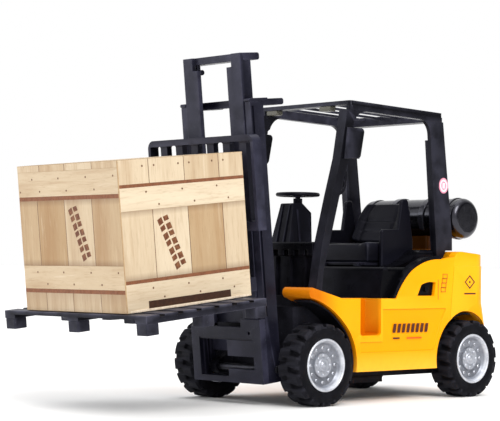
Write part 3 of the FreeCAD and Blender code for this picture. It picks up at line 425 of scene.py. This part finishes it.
def softened(node, width):
    """The node's mesh with flat faces merged and sharp edges rounded, or None where that would spoil it."""
    bm = bmesh.new()
    bm.from_mesh(NODES[node].data)
    bmesh.ops.remove_doubles(bm, verts=bm.verts, dist=2e-6)
    volume = bm.calc_volume(signed=True)
    bmesh.ops.dissolve_limit(bm, angle_limit=FLAT_LIMIT, verts=bm.verts, edges=bm.edges)
    sharp = [e for e in bm.edges if len(e.link_faces) == 2 and e.calc_face_angle(0) > SHARP_LIMIT]
    bmesh.ops.bevel(bm, geom=sharp, offset=width * MM, offset_type="OFFSET", segments=2, profile=0.6,
                    affect="EDGES", clamp_overlap=True)
    bmesh.ops.remove_doubles(bm, verts=bm.verts, dist=1e-6)
    bmesh.ops.triangulate(bm, faces=[f for f in bm.faces if len(f.verts) > 4])
    kept = bm.calc_volume(signed=True)
    if not bm.faces or abs(kept / volume - 1) > VOLUME_LOSS:
        print("kept the CAD mesh of", node, "volume ratio", kept / volume)
        bm.free()
        return None
    return finish_mesh(node + "_soft", bm, 40.0)


def weighted(piece):
    modifier = piece.modifiers.new("flat_faces", "WEIGHTED_NORMAL")
    modifier.keep_sharp = True
    modifier.weight = 80
    return piece


# ---------------------------------------------------------------- CAD nodes: rounded edges and materials
# Look, edge radius in mm, record slot and nodes
NODE_LOOKS = [
    ("yellow", 0.35, "yellow_body", ["body_shell", "counterweight"]),
    ("hood", 0.8, "black_satin", ["engine_hood"]),
    ("hood", 0.4, "black_satin", ["cowl"]),
    ("hood", 0.4, "black_plastic", ["cab_floor", "front_panel"]),
    ("cab", 0.3, "black_satin", ["steering_console"]),
    ("cab", 0.3, "black_plastic", ["steering_wheel", "steering_shaft", "seat_base"]),
    ("seat", 0.3, "black_plastic", ["hip_restraints"]),
    ("guard", 0.28, "guard_black", ["guard_front_post_left", "guard_front_post_right",
                                    "guard_rear_post_left", "guard_rear_post_right",
                                    "guard_roof_frame", "guard_roof_bars", "grab_handle"]),
    ("mast", 0.22, "mast_black", ["outer_mast_left", "outer_mast_right", "outer_mast_top_beam",
                                  "outer_mast_front_plate", "outer_mast_ties", "inner_mast_left",
                                  "inner_mast_right", "inner_mast_top_bar", "inner_mast_tie",
                                  "chain_rollers", "carriage_plate", "load_backrest", "fork_left",
                                  "fork_right"]),
    ("frame", 0.3, "black_plastic", ["chassis_frame", "mast_brackets", "arch_liners"]),
    ("pallet", 0.25, "pallet_black", ["pallet_deck", "pallet_feet"]),
    ("tank", 0.15, "tank_black", ["gas_tank", "tank_straps", "tank_collars"]),
    ("vent", 0.12, "vent_dark", ["vent_inserts"]),
    ("lamp", 0.2, "lamp_grey", ["work_lamps"]),
    ("rubber", 0.22, "tyre", ["tyre_front_left", "tyre_front_right", "tyre_rear_left",
                              "tyre_rear_right"]),
    ("rim", 0.08, "rim_silver", ["rim_front_left", "rim_front_right", "rim_rear_left", "rim_rear_right"]),
    ("steel", 0.15, "steel", ["front_axle_rod", "rear_axle_rod", "tilt_pin"]),
    ("card", 0.2, "crate_card", ["crate_walls", "crate_lid", "crate_base"]),
    ("flap", 0.2, "crate_card", ["crate_flap"]),
]
for look_name, width, slot_name, names in NODE_LOOKS:
    for node_name in names:
        node = NODES[node_name]
        node.data.materials.clear()
        node.data.materials.append(LOOKS[look_name])
        mesh = softened(node_name, width)
        if mesh is None:
            continue
        weighted(link(node_name + "_soft", mesh, look_name, node["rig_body"], (node_name,)))


# ---------------------------------------------------------------- wheel bolts
# Count, ring radius, head radius and depth behind the rim's outer face, in mm
BOLT_RINGS = ((12, 6.3, 0.62, 2.25), (8, 3.5, 0.52, 1.75))
BOLT_DOME = 0.7


def wheel_bolts(node_name, axle_y):
    """Domed bolt heads in two rings on a rim."""
    low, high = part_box(node_name)
    side = 1 if high.x > 0 else -1
    face = (high.x if side > 0 else low.x) / MM
    bm = bmesh.new()
    for count, ring, head, depth in BOLT_RINGS:
        for index in range(count):
            turn = 2 * math.pi * index / count
            centre = Vector(((face - side * depth) * MM, axle_y + ring * math.sin(turn) * MM,
                             AXLE_Z + ring * math.cos(turn) * MM))
            flat = Matrix.Translation(centre) @ Matrix.Diagonal((BOLT_DOME, 1, 1, 1))
            bmesh.ops.create_uvsphere(bm, u_segments=10, v_segments=8, radius=head * MM, matrix=flat)
    name = node_name.replace("rim", "rim_bolts")
    link(name, finish_mesh(name, bm, 60), "bolt", NODES[node_name]["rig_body"])


for wheel, axle_y in (("rim_front_left", AXLE_Y), ("rim_front_right", AXLE_Y), ("rim_rear_left", REAR_Y),
                      ("rim_rear_right", REAR_Y)):
    wheel_bolts(wheel, axle_y)


# ---------------------------------------------------------------- crate: printed boards
PRINT = 0.05  # how far the boards stand off the card
INK = PRINT + 0.01  # how far the marks on the boards do
FILM = 0.03  # thickness of a printed mark


def mast_box(node):
    """Lowest and highest (x, u, v) of a node, in mm."""
    points = []
    for vertex in NODES[node].data.vertices:
        y = (vertex.co.y - AXLE_Y) / MM
        z = vertex.co.z / MM
        points.append((vertex.co.x / MM, y * math.cos(LEAN) + z * math.sin(LEAN),
                       z * math.cos(LEAN) - y * math.sin(LEAN)))
    return [min(p[i] for p in points) for i in range(3)], [max(p[i] for p in points) for i in range(3)]


crate_low, crate_high = mast_box("crate_walls")
CRATE_X = crate_high[0]
CRATE_U0, CRATE_U1 = crate_low[1], crate_high[1]
CRATE_V0 = mast_box("crate_base")[0][2]
CRATE_V1 = mast_box("crate_lid")[1][2]


class Boards:
    """Thin printed boards as one mesh, with tone, way and shade kept on each corner point."""

    def __init__(self):
        self.points, self.faces, self.values = [], [], []

    def patch(self, place, a0, a1, b0, b1, tone, way, shades=(0.0, 0.0), rows=1):
        """A board from (a0, b0) to (a1, b1); place(a, b, off) gives the point. shades run from b0 to b1."""
        for row in range(rows):
            start, end = row / rows, (row + 1) / rows
            low, high = b0 + (b1 - b0) * start, b0 + (b1 - b0) * end
            first = len(self.points)
            corners = [(a0, low, start), (a1, low, start), (a1, high, end), (a0, high, end)]
            for a, b, share in corners:
                self.points.append(place(a, b, PRINT))
                self.values.append((tone, way, shades[0] + (shades[1] - shades[0]) * share))
            self.faces.append(tuple(range(first, first + 4)))

    def mesh(self, name):
        mesh = bpy.data.meshes.new(name)
        mesh.from_pydata(self.points, [], self.faces)
        for index, key in enumerate(("tone", "way", "shade")):
            layer = mesh.attributes.new(key, "FLOAT", "POINT")
            layer.data.foreach_set("value", [v[index] for v in self.values])
        return mesh


FACES = {
    "front": lambda a, b, off: mast(a, CRATE_U0 - off, b),
    "back": lambda a, b, off: mast(-a, CRATE_U1 + off, b),
    "left": lambda a, b, off: mast(CRATE_X + off, a, b),
    "right": lambda a, b, off: mast(-CRATE_X - off, CRATE_U0 + CRATE_U1 - a, b),
    "top": lambda a, b, off: mast(a, b, CRATE_V1 + off),
    "bottom": lambda a, b, off: mast(a, b, CRATE_V0 - off),
}
GAP = 0.13  # half the printed gap between two boards
EDGE = 0.25  # card left bare beside a corner
SHADOW = 2.2  # how much of each board darkens with painted shade towards the strip beside it
# How dark that painted shade is at the strip
DARKEST = 0.42
boards = Boards()
gap_lines = {}


def rectangle(a0, b0, a1, b1):
    return [(a0, b0), (a1, b0), (a1, b1), (a0, b1)]


def planks(face, a_start, a_end, joints, b0, b1, tones, shades=(0.0, 0.0), rows=1):
    """Boards side by side between the joints, all from b0 to b1."""
    edges = [a_start] + list(joints) + [a_end]
    for index in range(len(edges) - 1):
        left = edges[index] + (GAP if index else 0)
        right = edges[index + 1] - (GAP if index < len(edges) - 2 else 0)
        boards.patch(FACES[face], left, right, b0, b1, tones[index], 0.0, shades, rows)
    for a in joints:
        gap_lines.setdefault(face, []).append(rectangle(a - GAP, b0, a + GAP, b1))


def shaded_planks(face, a_start, a_end, joints, b0, b1, tones):
    """Planks that run under the strips above and below them, with painted shade towards each strip."""
    planks(face, a_start, a_end, joints, b0, b0 + SHADOW, tones, (DARKEST, 0.0), 3)
    planks(face, a_start, a_end, joints, b0 + SHADOW, b1 - SHADOW, tones)
    planks(face, a_start, a_end, joints, b1 - SHADOW, b1, tones, (0.0, DARKEST), 3)


# Where the planks, cross strips and dark grooves lie up the mast, on the ends and on the long sides
END_TOP_PLANKS = 92.1
END_UPPER_STRIP = (83.4, 92.0)
END_UPPER_GROOVE = (82.0, 83.4)
END_PLANKS = (59.4, 82.0)
END_LOWER_STRIP = (51.3, 59.3)
END_LOWER_GROOVE = (49.9, 51.3)
SIDE_TOP_PLANKS = 86.15
SIDE_UPPER_GROOVE = (85.0, 86.15)
SIDE_UPPER_STRIP = (77.3, 85.0)
SIDE_PLANKS = (54.2, 77.2)
SIDE_LOWER_GROOVE = (53.0, 54.2)
SIDE_LOWER_STRIP = (46.8, 53.0)
NOTCH_U0, NOTCH_U1 = -74.6, -37.4
LID_JOINTS = (-17.5, -2.0, 13.3)
FOOT = CRATE_V0 + 0.15
HEAD = CRATE_V1 - 0.1

for face in ("front", "back"):
    a0, a1 = EDGE - CRATE_X, CRATE_X - EDGE
    planks(face, a0, a1, (-15.2, -0.8, 14.4), END_TOP_PLANKS, HEAD, (0.35, 0.55, 0.3, 0.5))
    boards.patch(FACES[face], a0, a1, *END_UPPER_STRIP, 0.42, 1.0)
    shaded_planks(face, a0, a1, (-17.5, -2.0, 13.3), *END_PLANKS, (0.85, 1.0, 0.45, 0.8))
    boards.patch(FACES[face], a0, a1, *END_LOWER_STRIP, 0.5, 1.0)
    # The lowest planks darken with painted shade towards the groove above them
    planks(face, a0, a1, (-15.8, -0.5, 14.8), FOOT, END_LOWER_GROOVE[0], (0.6, 0.4, 0.5, 0.7),
           (0.0, 0.25), 2)
for face in ("left", "right"):
    a0, a1 = CRATE_U0 + EDGE, CRATE_U1 - EDGE
    planks(face, a0, a1, (-70.8, -55.1, -39.2), SIDE_TOP_PLANKS, HEAD, (0.25, 0.2, 0.45, 0.25))
    boards.patch(FACES[face], a0, a1, *SIDE_UPPER_STRIP, 0.0, 1.0)
    shaded_planks(face, a0, a1, (-70.2, -54.5, -38.6), *SIDE_PLANKS, (0.35, 0.1, 0.9, 0.35))
    boards.patch(FACES[face], a0, a1, *SIDE_LOWER_STRIP, 0.1, 1.0)
    boards.patch(FACES[face], a0, NOTCH_U0, FOOT, SIDE_LOWER_STRIP[0], 0.1, 1.0)
    boards.patch(FACES[face], NOTCH_U1, a1, FOOT, SIDE_LOWER_STRIP[0], 0.1, 1.0)
for face, tones in (("top", (0.4, 0.7, 0.3, 0.5)), ("bottom", (0.5, 0.6, 0.4, 0.5))):
    planks(face, EDGE - CRATE_X, CRATE_X - EDGE, LID_JOINTS, CRATE_U0 + 0.2, CRATE_U1 - 0.2, tones)
link("crate_boards", boards.mesh("crate_boards"), "boards", "crate")


def flat_shapes(name, face, outlines, off, look, body_name, thick=FILM):
    """Thin plates on a face, from outlines of (a, b) points."""
    bm = bmesh.new()
    for outline in outlines:
        lower = [bm.verts.new(FACES[face](a, b, off)) for a, b in outline]
        upper = [bm.verts.new(FACES[face](a, b, off + thick)) for a, b in outline]
        bm.faces.new(upper)
        bm.faces.new(list(reversed(lower)))
        for index in range(len(outline)):
            after = (index + 1) % len(outline)
            bm.faces.new((lower[index], lower[after], upper[after], upper[index]))
    return link(name, finish_mesh(name, bm, 30), look, body_name)


def crate_print(name, face, outlines, off, look):
    """A mark on one face of the crate."""
    flat_shapes("crate_" + name + "_" + face, face, outlines, off, look, "crate")


def disc(a, b, radius, count=10, squash=1.0):
    turns = [2 * math.pi * index / count for index in range(count)]
    return [(a + radius * math.cos(turn), b + squash * radius * math.sin(turn)) for turn in turns]


def nail_row(a_list, b):
    return [(a, b) for a in a_list]


NAIL_R = 0.36
end_nails = (nail_row((-19.7, -4.5, 10.8, 25.6), 89.5) + nail_row((-27.0, -15.6, -0.3, 15.1), 85.2)
             + nail_row((-20.0, -5.0, 10.3, 25.0), 57.1) + nail_row((-14.6, 0.4, 15.8), 53.0))
side_nails = (nail_row((-73.5, -68.4, -57.6, -52.7, -42.2, -37.0), 92.0)
              + nail_row((-72.5, -56.5, -40.7), 83.3) + nail_row((-67.2, -51.3, -35.6), 78.8)
              + nail_row((-72.2, -56.4, -40.7), 51.0) + nail_row((-67.5, -51.4, -35.6), 47.6))
for face, spots in (("front", end_nails), ("back", end_nails), ("left", side_nails), ("right", side_nails)):
    crate_print("nails", face, [disc(a, b, NAIL_R) for a, b in spots], INK, "nail")

STENCIL_BLOCKS = 7
STENCIL_HEIGHT = 4.9
STENCIL_HALVES = ((-0.5, -0.06), (0.06, 0.5))  # across the line, either side of the bridge
STENCIL_SHORT, STENCIL_LONG = 0.62, 0.78  # lengths of the blocks as shares of their pitch
STENCIL_START = 0.11


def stencil(start, end):
    """Broken blocks along a slanting line, each with the bridge a stencil leaves: a mark, not letters."""
    start, end = Vector(start), Vector(end)
    along = (end - start).normalized()
    across = Vector((-along.y, along.x)) * STENCIL_HEIGHT
    pitch = (end - start).length / STENCIL_BLOCKS
    shapes = []
    for index in range(STENCIL_BLOCKS):
        for piece, (inner, outer) in enumerate(STENCIL_HALVES):
            length = STENCIL_SHORT if (index + piece) % 2 else STENCIL_LONG
            p0 = start + along * pitch * (index + STENCIL_START)
            p1 = start + along * pitch * (index + STENCIL_START + length)
            low, high = across * inner, across * outer
            slant = along * pitch * 0.08 * (1 if piece else -1)
            shapes.append([tuple(p) for p in (p0 + low, p1 + low, p1 + high + slant, p0 + high + slant)])
    return shapes


for face in ("front", "back"):
    crate_print("stencil", face, stencil((2.2, 79.6), (9.0, 61.4)), INK, "stencil")
for face in ("left", "right"):
    crate_print("stencil", face, stencil((-66.4, 74.6), (-59.0, 56.6)), INK, "stencil")

CARD_PRINT = 0.005  # marks that lie on the bare card between the boards
CORNER = 0.3  # how far the grooves stop short of a corner


def groove_print(face, a0, a1, grooves):
    """Dark strips across a side where its boards step back."""
    strips = [rectangle(a0 + CORNER, low, a1 - CORNER, high) for low, high in grooves]
    crate_print("grooves", face, strips, CARD_PRINT, "groove")


# Painted shadow: a dark strip fills the notch at the foot of each side
notch = rectangle(NOTCH_U0, CRATE_V0 + 0.9, NOTCH_U1, SIDE_LOWER_STRIP[0])
for face in ("left", "right"):
    crate_print("notch", face, [notch], CARD_PRINT, "notch")
    groove_print(face, CRATE_U0, CRATE_U1, (SIDE_UPPER_GROOVE, SIDE_LOWER_GROOVE))
for face in ("front", "back"):
    groove_print(face, -CRATE_X, CRATE_X, (END_UPPER_GROOVE, END_LOWER_GROOVE))
for face, lines in gap_lines.items():
    crate_print("gaps", face, lines, CARD_PRINT, "nail")


# ---------------------------------------------------------------- body marks: plain shapes, no lettering
SIDE_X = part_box("body_shell")[1].x / MM


def side_face(side):
    return lambda a, b, off: body(side * (SIDE_X + off), a, b)


for side, side_name in ((1, "left"), (-1, "right")):
    FACES["body_" + side_name] = side_face(side)


def frame_outline(a, b, half_a, half_b, width):
    """Four bars round a rectangle."""
    a0, a1, b0, b1 = a - half_a, a + half_a, b - half_b, b + half_b
    return [rectangle(a0, b0, a1, b0 + width), rectangle(a0, b1 - width, a1, b1),
            rectangle(a0, b0, a0 + width, b1), rectangle(a1 - width, b0, a1, b1)]


def diamond(a, b, half_a, half_b):
    """The four corners of a diamond round (a, b)."""
    return [(a, b + half_b), (a + half_a, b), (a, b - half_b), (a - half_a, b)]


STRIPES = 8
STRIPE_Y0, STRIPE_Y1, STRIPE_Z0, STRIPE_Z1 = 38.6, 59.4, 26.0, 29.4
STRIPE_PITCH = (STRIPE_Y1 - STRIPE_Y0) / STRIPES
stripes = []
for index in range(STRIPES):
    y0 = STRIPE_Y0 + STRIPE_PITCH * index
    stripes.append([(y0, STRIPE_Z0), (y0 + STRIPE_PITCH * 0.62, STRIPE_Z0),
                    (y0 + STRIPE_PITCH * 0.9, STRIPE_Z1), (y0 + STRIPE_PITCH * 0.28, STRIPE_Z1)])
# Four small raised frames, one above another, beside an upright line, all in an orange that is painted shade
# on raised edges
louvres = []
for index in range(4):
    louvres += frame_outline(67.7 + 0.36 * index, 42.2 + 1.75 * index, 1.45, 0.95, 0.3)
louvres.append(rectangle(64.6, 38.4, 64.85, 46.2))
LOUVRE_RISE = 0.12
# A diamond outline with a dot in it, over a short line
TAIL_MARK_Y, TAIL_MARK_Z = 83.8, 45.2
outer = diamond(TAIL_MARK_Y, TAIL_MARK_Z, 3.2, 2.8)
inner = diamond(TAIL_MARK_Y, TAIL_MARK_Z, 2.4, 2.1)
tail_mark = [[outer[i], outer[(i + 1) % 4], inner[(i + 1) % 4], inner[i]] for i in range(4)]
tail_mark.append(disc(TAIL_MARK_Y, TAIL_MARK_Z, 0.5, 12))
tail_mark.append(rectangle(80.4, 40.3, 87.4, 40.9))


def body_print(name, side_name, outlines, look, thick=FILM):
    """A mark on one side of the yellow body."""
    flat_shapes(name + "_" + side_name, "body_" + side_name, outlines, 0.01, look, "chassis",
                thick)


for side_name in ("left", "right"):
    body_print("side_stripes", side_name, stripes, "mark")
    body_print("side_dash", side_name, [rectangle(38.8, 23.6, 42.6, 24.2)], "mark")
    body_print("side_dash_red", side_name, [rectangle(46.6, 23.6, 55.2, 24.1)], "red_mark")
    body_print("side_louvres", side_name, louvres, "line", LOUVRE_RISE)
    body_print("tail_mark", side_name, tail_mark, "mark")

POST_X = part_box("guard_rear_post_left")[1].x / MM
STICKER_Y, STICKER_Z = 74.6, 83.3
STICKER_SQUASH = 1.12
FACES["post"] = lambda a, b, off: body(POST_X + off, a, b)
sticker = [("rim", [disc(STICKER_Y, STICKER_Z, 2.75, 32, STICKER_SQUASH)], "sticker_red"),
           ("ring", [disc(STICKER_Y, STICKER_Z, 2.2, 32, STICKER_SQUASH)], "sticker_white"),
           ("middle", [disc(STICKER_Y, STICKER_Z, 1.5, 28, STICKER_SQUASH)], "sticker_red"),
           ("bar", [rectangle(73.9, 82.2, 75.3, 84.4)], "sticker_white")]
for layer, (name, outlines, look_name) in enumerate(sticker):
    flat_shapes("post_sticker_" + name, "post", outlines, 0.01 + FILM * layer, look_name, "chassis")


# ---------------------------------------------------------------- seat: moulded pads with channels
COLUMNS = 28
ROWS = 32
SIDE_ROUND = 0.10  # share of the half width that the side edges curve over
END_ROUND = 0.08
CORNER_DRAW = 0.05  # how much narrower the pad is at its two ends
CORNER_PULL = 0.04  # how much shorter it is along its two sides
TUCK = 0.96  # size of the underside as a share of the pad's
BOLSTER_START = 0.62
CHANNEL_DEEP = 0.55
CHANNEL_WIDE = 0.28
CHANNEL_END = 0.66  # past this share of the half width the channels fade
EDGE_SHARE = 0.72  # thickness at the edge as a share of the thickness inside
WELT_PLACE = 0.64  # the groove between the middle and each bolster, as a share of the half width
WELT_WIDE = 0.03
WELT_DEEP = 0.6


def pad_height(s, t, b, thick, crown, bolster, channels):
    """Height of a pad at s across (-1 to 1) and t along (0 to 1), where b is t in mm."""
    edge = min(1 - abs(s), SIDE_ROUND) / SIDE_ROUND
    end = min(t, 1 - t, END_ROUND) / END_ROUND
    round_off = math.sqrt(max(1 - (1 - edge) ** 2, 0)) * math.sqrt(max(1 - (1 - end) ** 2, 0))
    side = min(max(0.0, (abs(s) - BOLSTER_START) / (1 - BOLSTER_START)), 1.0)
    height = thick * (EDGE_SHARE + (1 - EDGE_SHARE) * round_off)
    height += bolster * math.sin(side * math.pi * 0.5) * round_off
    height += crown * math.cos(s * math.pi * 0.5) * math.sin(t * math.pi) * round_off
    for channel in channels:
        fade = 1 if abs(s) < CHANNEL_END else 0.25
        height -= CHANNEL_DEEP * math.exp(-((b - channel) / CHANNEL_WIDE) ** 2) * round_off * fade
    return height - WELT_DEEP * math.exp(-((abs(s) - WELT_PLACE) / WELT_WIDE) ** 2) * round_off


def rim(sheet):
    """The points round the edge of a grid, in order."""
    loop = [sheet[0][j] for j in range(COLUMNS + 1)]
    loop += [sheet[i][COLUMNS] for i in range(1, ROWS + 1)]
    loop += [sheet[ROWS][j] for j in range(COLUMNS - 1, -1, -1)]
    return loop + [sheet[i][0] for i in range(ROWS - 1, 0, -1)]


def pad(name, place, half, depth, thick, crown, bolster, channels, node_name):
    """A crowned pad on a grid that stands for a CAD node; place(a, b, height) gives a point from mm."""
    bm = bmesh.new()
    top = []
    for i in range(ROWS + 1):
        line = []
        t = i / ROWS
        for j in range(COLUMNS + 1):
            s = j / COLUMNS * 2 - 1
            a = s * half * (1 - CORNER_DRAW * (abs(2 * t - 1) ** 6))
            b = depth * (t + (0.5 - t) * CORNER_PULL * abs(s) ** 6)
            line.append(bm.verts.new(place(a, b, pad_height(s, t, b, thick, crown, bolster, channels))))
        top.append(line)
    base = [[bm.verts.new(place((j / COLUMNS * 2 - 1) * half * TUCK,
                                depth * ((1 - TUCK) / 2 + TUCK * i / ROWS), 0.0))
             for j in range(COLUMNS + 1)] for i in range(ROWS + 1)]
    for sheet, order in ((top, 1), (base, -1)):
        for i in range(ROWS):
            for j in range(COLUMNS):
                quad = (sheet[i][j], sheet[i][j + 1], sheet[i + 1][j + 1], sheet[i + 1][j])
                bm.faces.new(quad if order > 0 else tuple(reversed(quad)))
    upper, lower = rim(top), rim(base)
    for index in range(len(upper)):
        after = (index + 1) % len(upper)
        bm.faces.new((upper[index], lower[index], lower[after], upper[after]))
    piece = link(name, finish_mesh(name, bm, 60), "seat", "chassis", (node_name,))
    subdivision = piece.modifiers.new("smooth", "SUBSURF")
    subdivision.levels = 1
    subdivision.render_levels = 1


def node_mm(node):
    low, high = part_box(node)
    return [low.x / MM, (low.y - AXLE_Y) / MM, low.z / MM], [high.x / MM, (high.y - AXLE_Y) / MM, high.z / MM]


pad_low, pad_high = node_mm("seat_cushion")
pad("seat_pad", lambda a, b, h: body(a, pad_low[1] + b, pad_low[2] + h), half=pad_high[0],
    depth=pad_high[1] - pad_low[1], thick=pad_high[2] - pad_low[2] - 1.2, crown=0.5, bolster=0.9,
    channels=(5.0, 9.0, 13.0), node_name="seat_cushion")

# The backrest leans back about its front lower edge, and its top narrows in an arch
BACK_LEAN = math.radians(28.0)
BACK_FOOT_Y, BACK_FOOT_Z = 59.9, 61.2
BACK_FRONT = 4.2
ARCH_START = 0.53
ARCH_NARROW = 0.45
back_high = node_mm("seat_back")[1]
back_tall = (back_high[2] - BACK_FOOT_Z) / math.cos(BACK_LEAN)


def back_place(a, b, h):
    forward = BACK_FRONT - h
    rise = min(max(b / back_tall - ARCH_START, 0.0) / (1 - ARCH_START), 1.0)
    taper = 1 - ARCH_NARROW + ARCH_NARROW * math.sqrt(1 - rise ** 2.4)
    y = BACK_FOOT_Y + b * math.sin(BACK_LEAN) + forward * math.cos(BACK_LEAN)
    z = BACK_FOOT_Z + b * math.cos(BACK_LEAN) - forward * math.sin(BACK_LEAN)
    return body(a * taper, y, z)


pad("seat_back_pad", back_place, half=back_high[0], depth=back_tall - 0.5, thick=3.6, crown=0.4, bolster=1.2,
    channels=(5.2, 9.6), node_name="seat_back")

# ---------------------------------------------------------------- floor, light and camera
floor_mesh = bpy.data.meshes.new("floor")
floor_mesh.from_pydata([(-30, -30, 0), (30, -30, 0), (30, 30, 0), (-30, 30, 0)], [], [(0, 1, 2, 3)])
floor = bpy.data.objects.new("floor", floor_mesh)
bpy.context.scene.collection.objects.link(floor)
floor_look = Look("studio_floor", Specular_IOR_Level=0.1, Roughness=0.8)
floor_look.set(Base_Color=floor_look.mix(floor_look.noise(4.0), (0.86, 0.86, 0.86, 1), (0.88, 0.88, 0.88, 1)))
floor_mesh.materials.append(floor_look.mat)

# The world is white and fades to near black round one level direction, which the left side mirrors
DARK_WAY = (0.707, 0.707, 0.0)
FADE = {"From Min": 0.6, "From Max": 0.93, "To Min": 1.0, "To Max": 0.08}
world = bpy.data.worlds.new("studio")
bpy.context.scene.world = world
world.use_nodes = True
tree = world.node_tree
background = tree.nodes["Background"]
direction = tree.nodes.new("ShaderNodeTexCoord").outputs["Generated"]
dot = tree.nodes.new("ShaderNodeVectorMath")
dot.operation = "DOT_PRODUCT"
dot.inputs[1].default_value = DARK_WAY
tree.links.new(direction, dot.inputs[0])
fade = tree.nodes.new("ShaderNodeMapRange")
tree.links.new(dot.outputs["Value"], fade.inputs["Value"])
for key, value in FADE.items():
    fade.inputs[key].default_value = value
tree.links.new(fade.outputs["Result"], background.inputs["Color"])
background.inputs["Strength"].default_value = 1.0


def softbox(name, place, target, size, power, colour=(1, 1, 1)):
    data = bpy.data.lights.new(name, "AREA")
    data.shape = "RECTANGLE"
    data.size, data.size_y = size
    data.energy = power
    data.color = colour
    lamp = bpy.data.objects.new(name, data)
    bpy.context.scene.collection.objects.link(lamp)
    lamp.location = place
    lamp.rotation_mode = "QUATERNION"
    lamp.rotation_quaternion = (Vector(target) - Vector(place)).to_track_quat("-Z", "Y")
    return lamp


middle = (cad_low + cad_high) / 2
sun_data = bpy.data.lights.new("key", "SUN")
sun_data.energy = 2.6
sun_data.angle = math.radians(34)
sun_data.color = (1.0, 0.985, 0.96)
sun = bpy.data.objects.new("key", sun_data)
bpy.context.scene.collection.objects.link(sun)
sun.rotation_mode = "QUATERNION"
sun.rotation_quaternion = Vector((-2.2, 0.8, -1.9)).to_track_quat("-Z", "Y")
softbox("front_fill", (-0.55, -0.75, 0.25), middle, (0.6, 0.6), 1.7, (0.93, 0.96, 1.0))
softbox("top", (0.0, 0.1, 0.95), middle, (0.8, 0.8), 2.0)

# The photo's view: place in metres, then the turn round Z, the tilt and the roll
CAMERA_PLACE = Vector((0.47553, -0.45213, 0.05081))
azimuth, elevation, roll = math.radians(47.018), math.radians(-1.832), math.radians(0.499)
back = Vector((math.sin(azimuth) * math.cos(elevation), -math.cos(azimuth) * math.cos(elevation),
               math.sin(elevation)))
right = Vector((math.cos(azimuth), math.sin(azimuth), 0))
up = back.cross(right)
tipped_right = right * math.cos(roll) + up * math.sin(roll)
tipped_up = up * math.cos(roll) - right * math.sin(roll)
camera_data = bpy.data.cameras.new("camera")
camera_data.sensor_width = 36.0
camera_data.lens = 124.92
camera_data.clip_start = 0.01
camera = bpy.data.objects.new("camera", camera_data)
bpy.context.scene.collection.objects.link(camera)
turn = Matrix((tipped_right, tipped_up, back)).transposed().to_4x4()
camera.matrix_world = Matrix.Translation(CAMERA_PLACE) @ turn
bpy.context.scene.camera = camera
bpy.context.scene.view_settings.view_transform = "Standard"
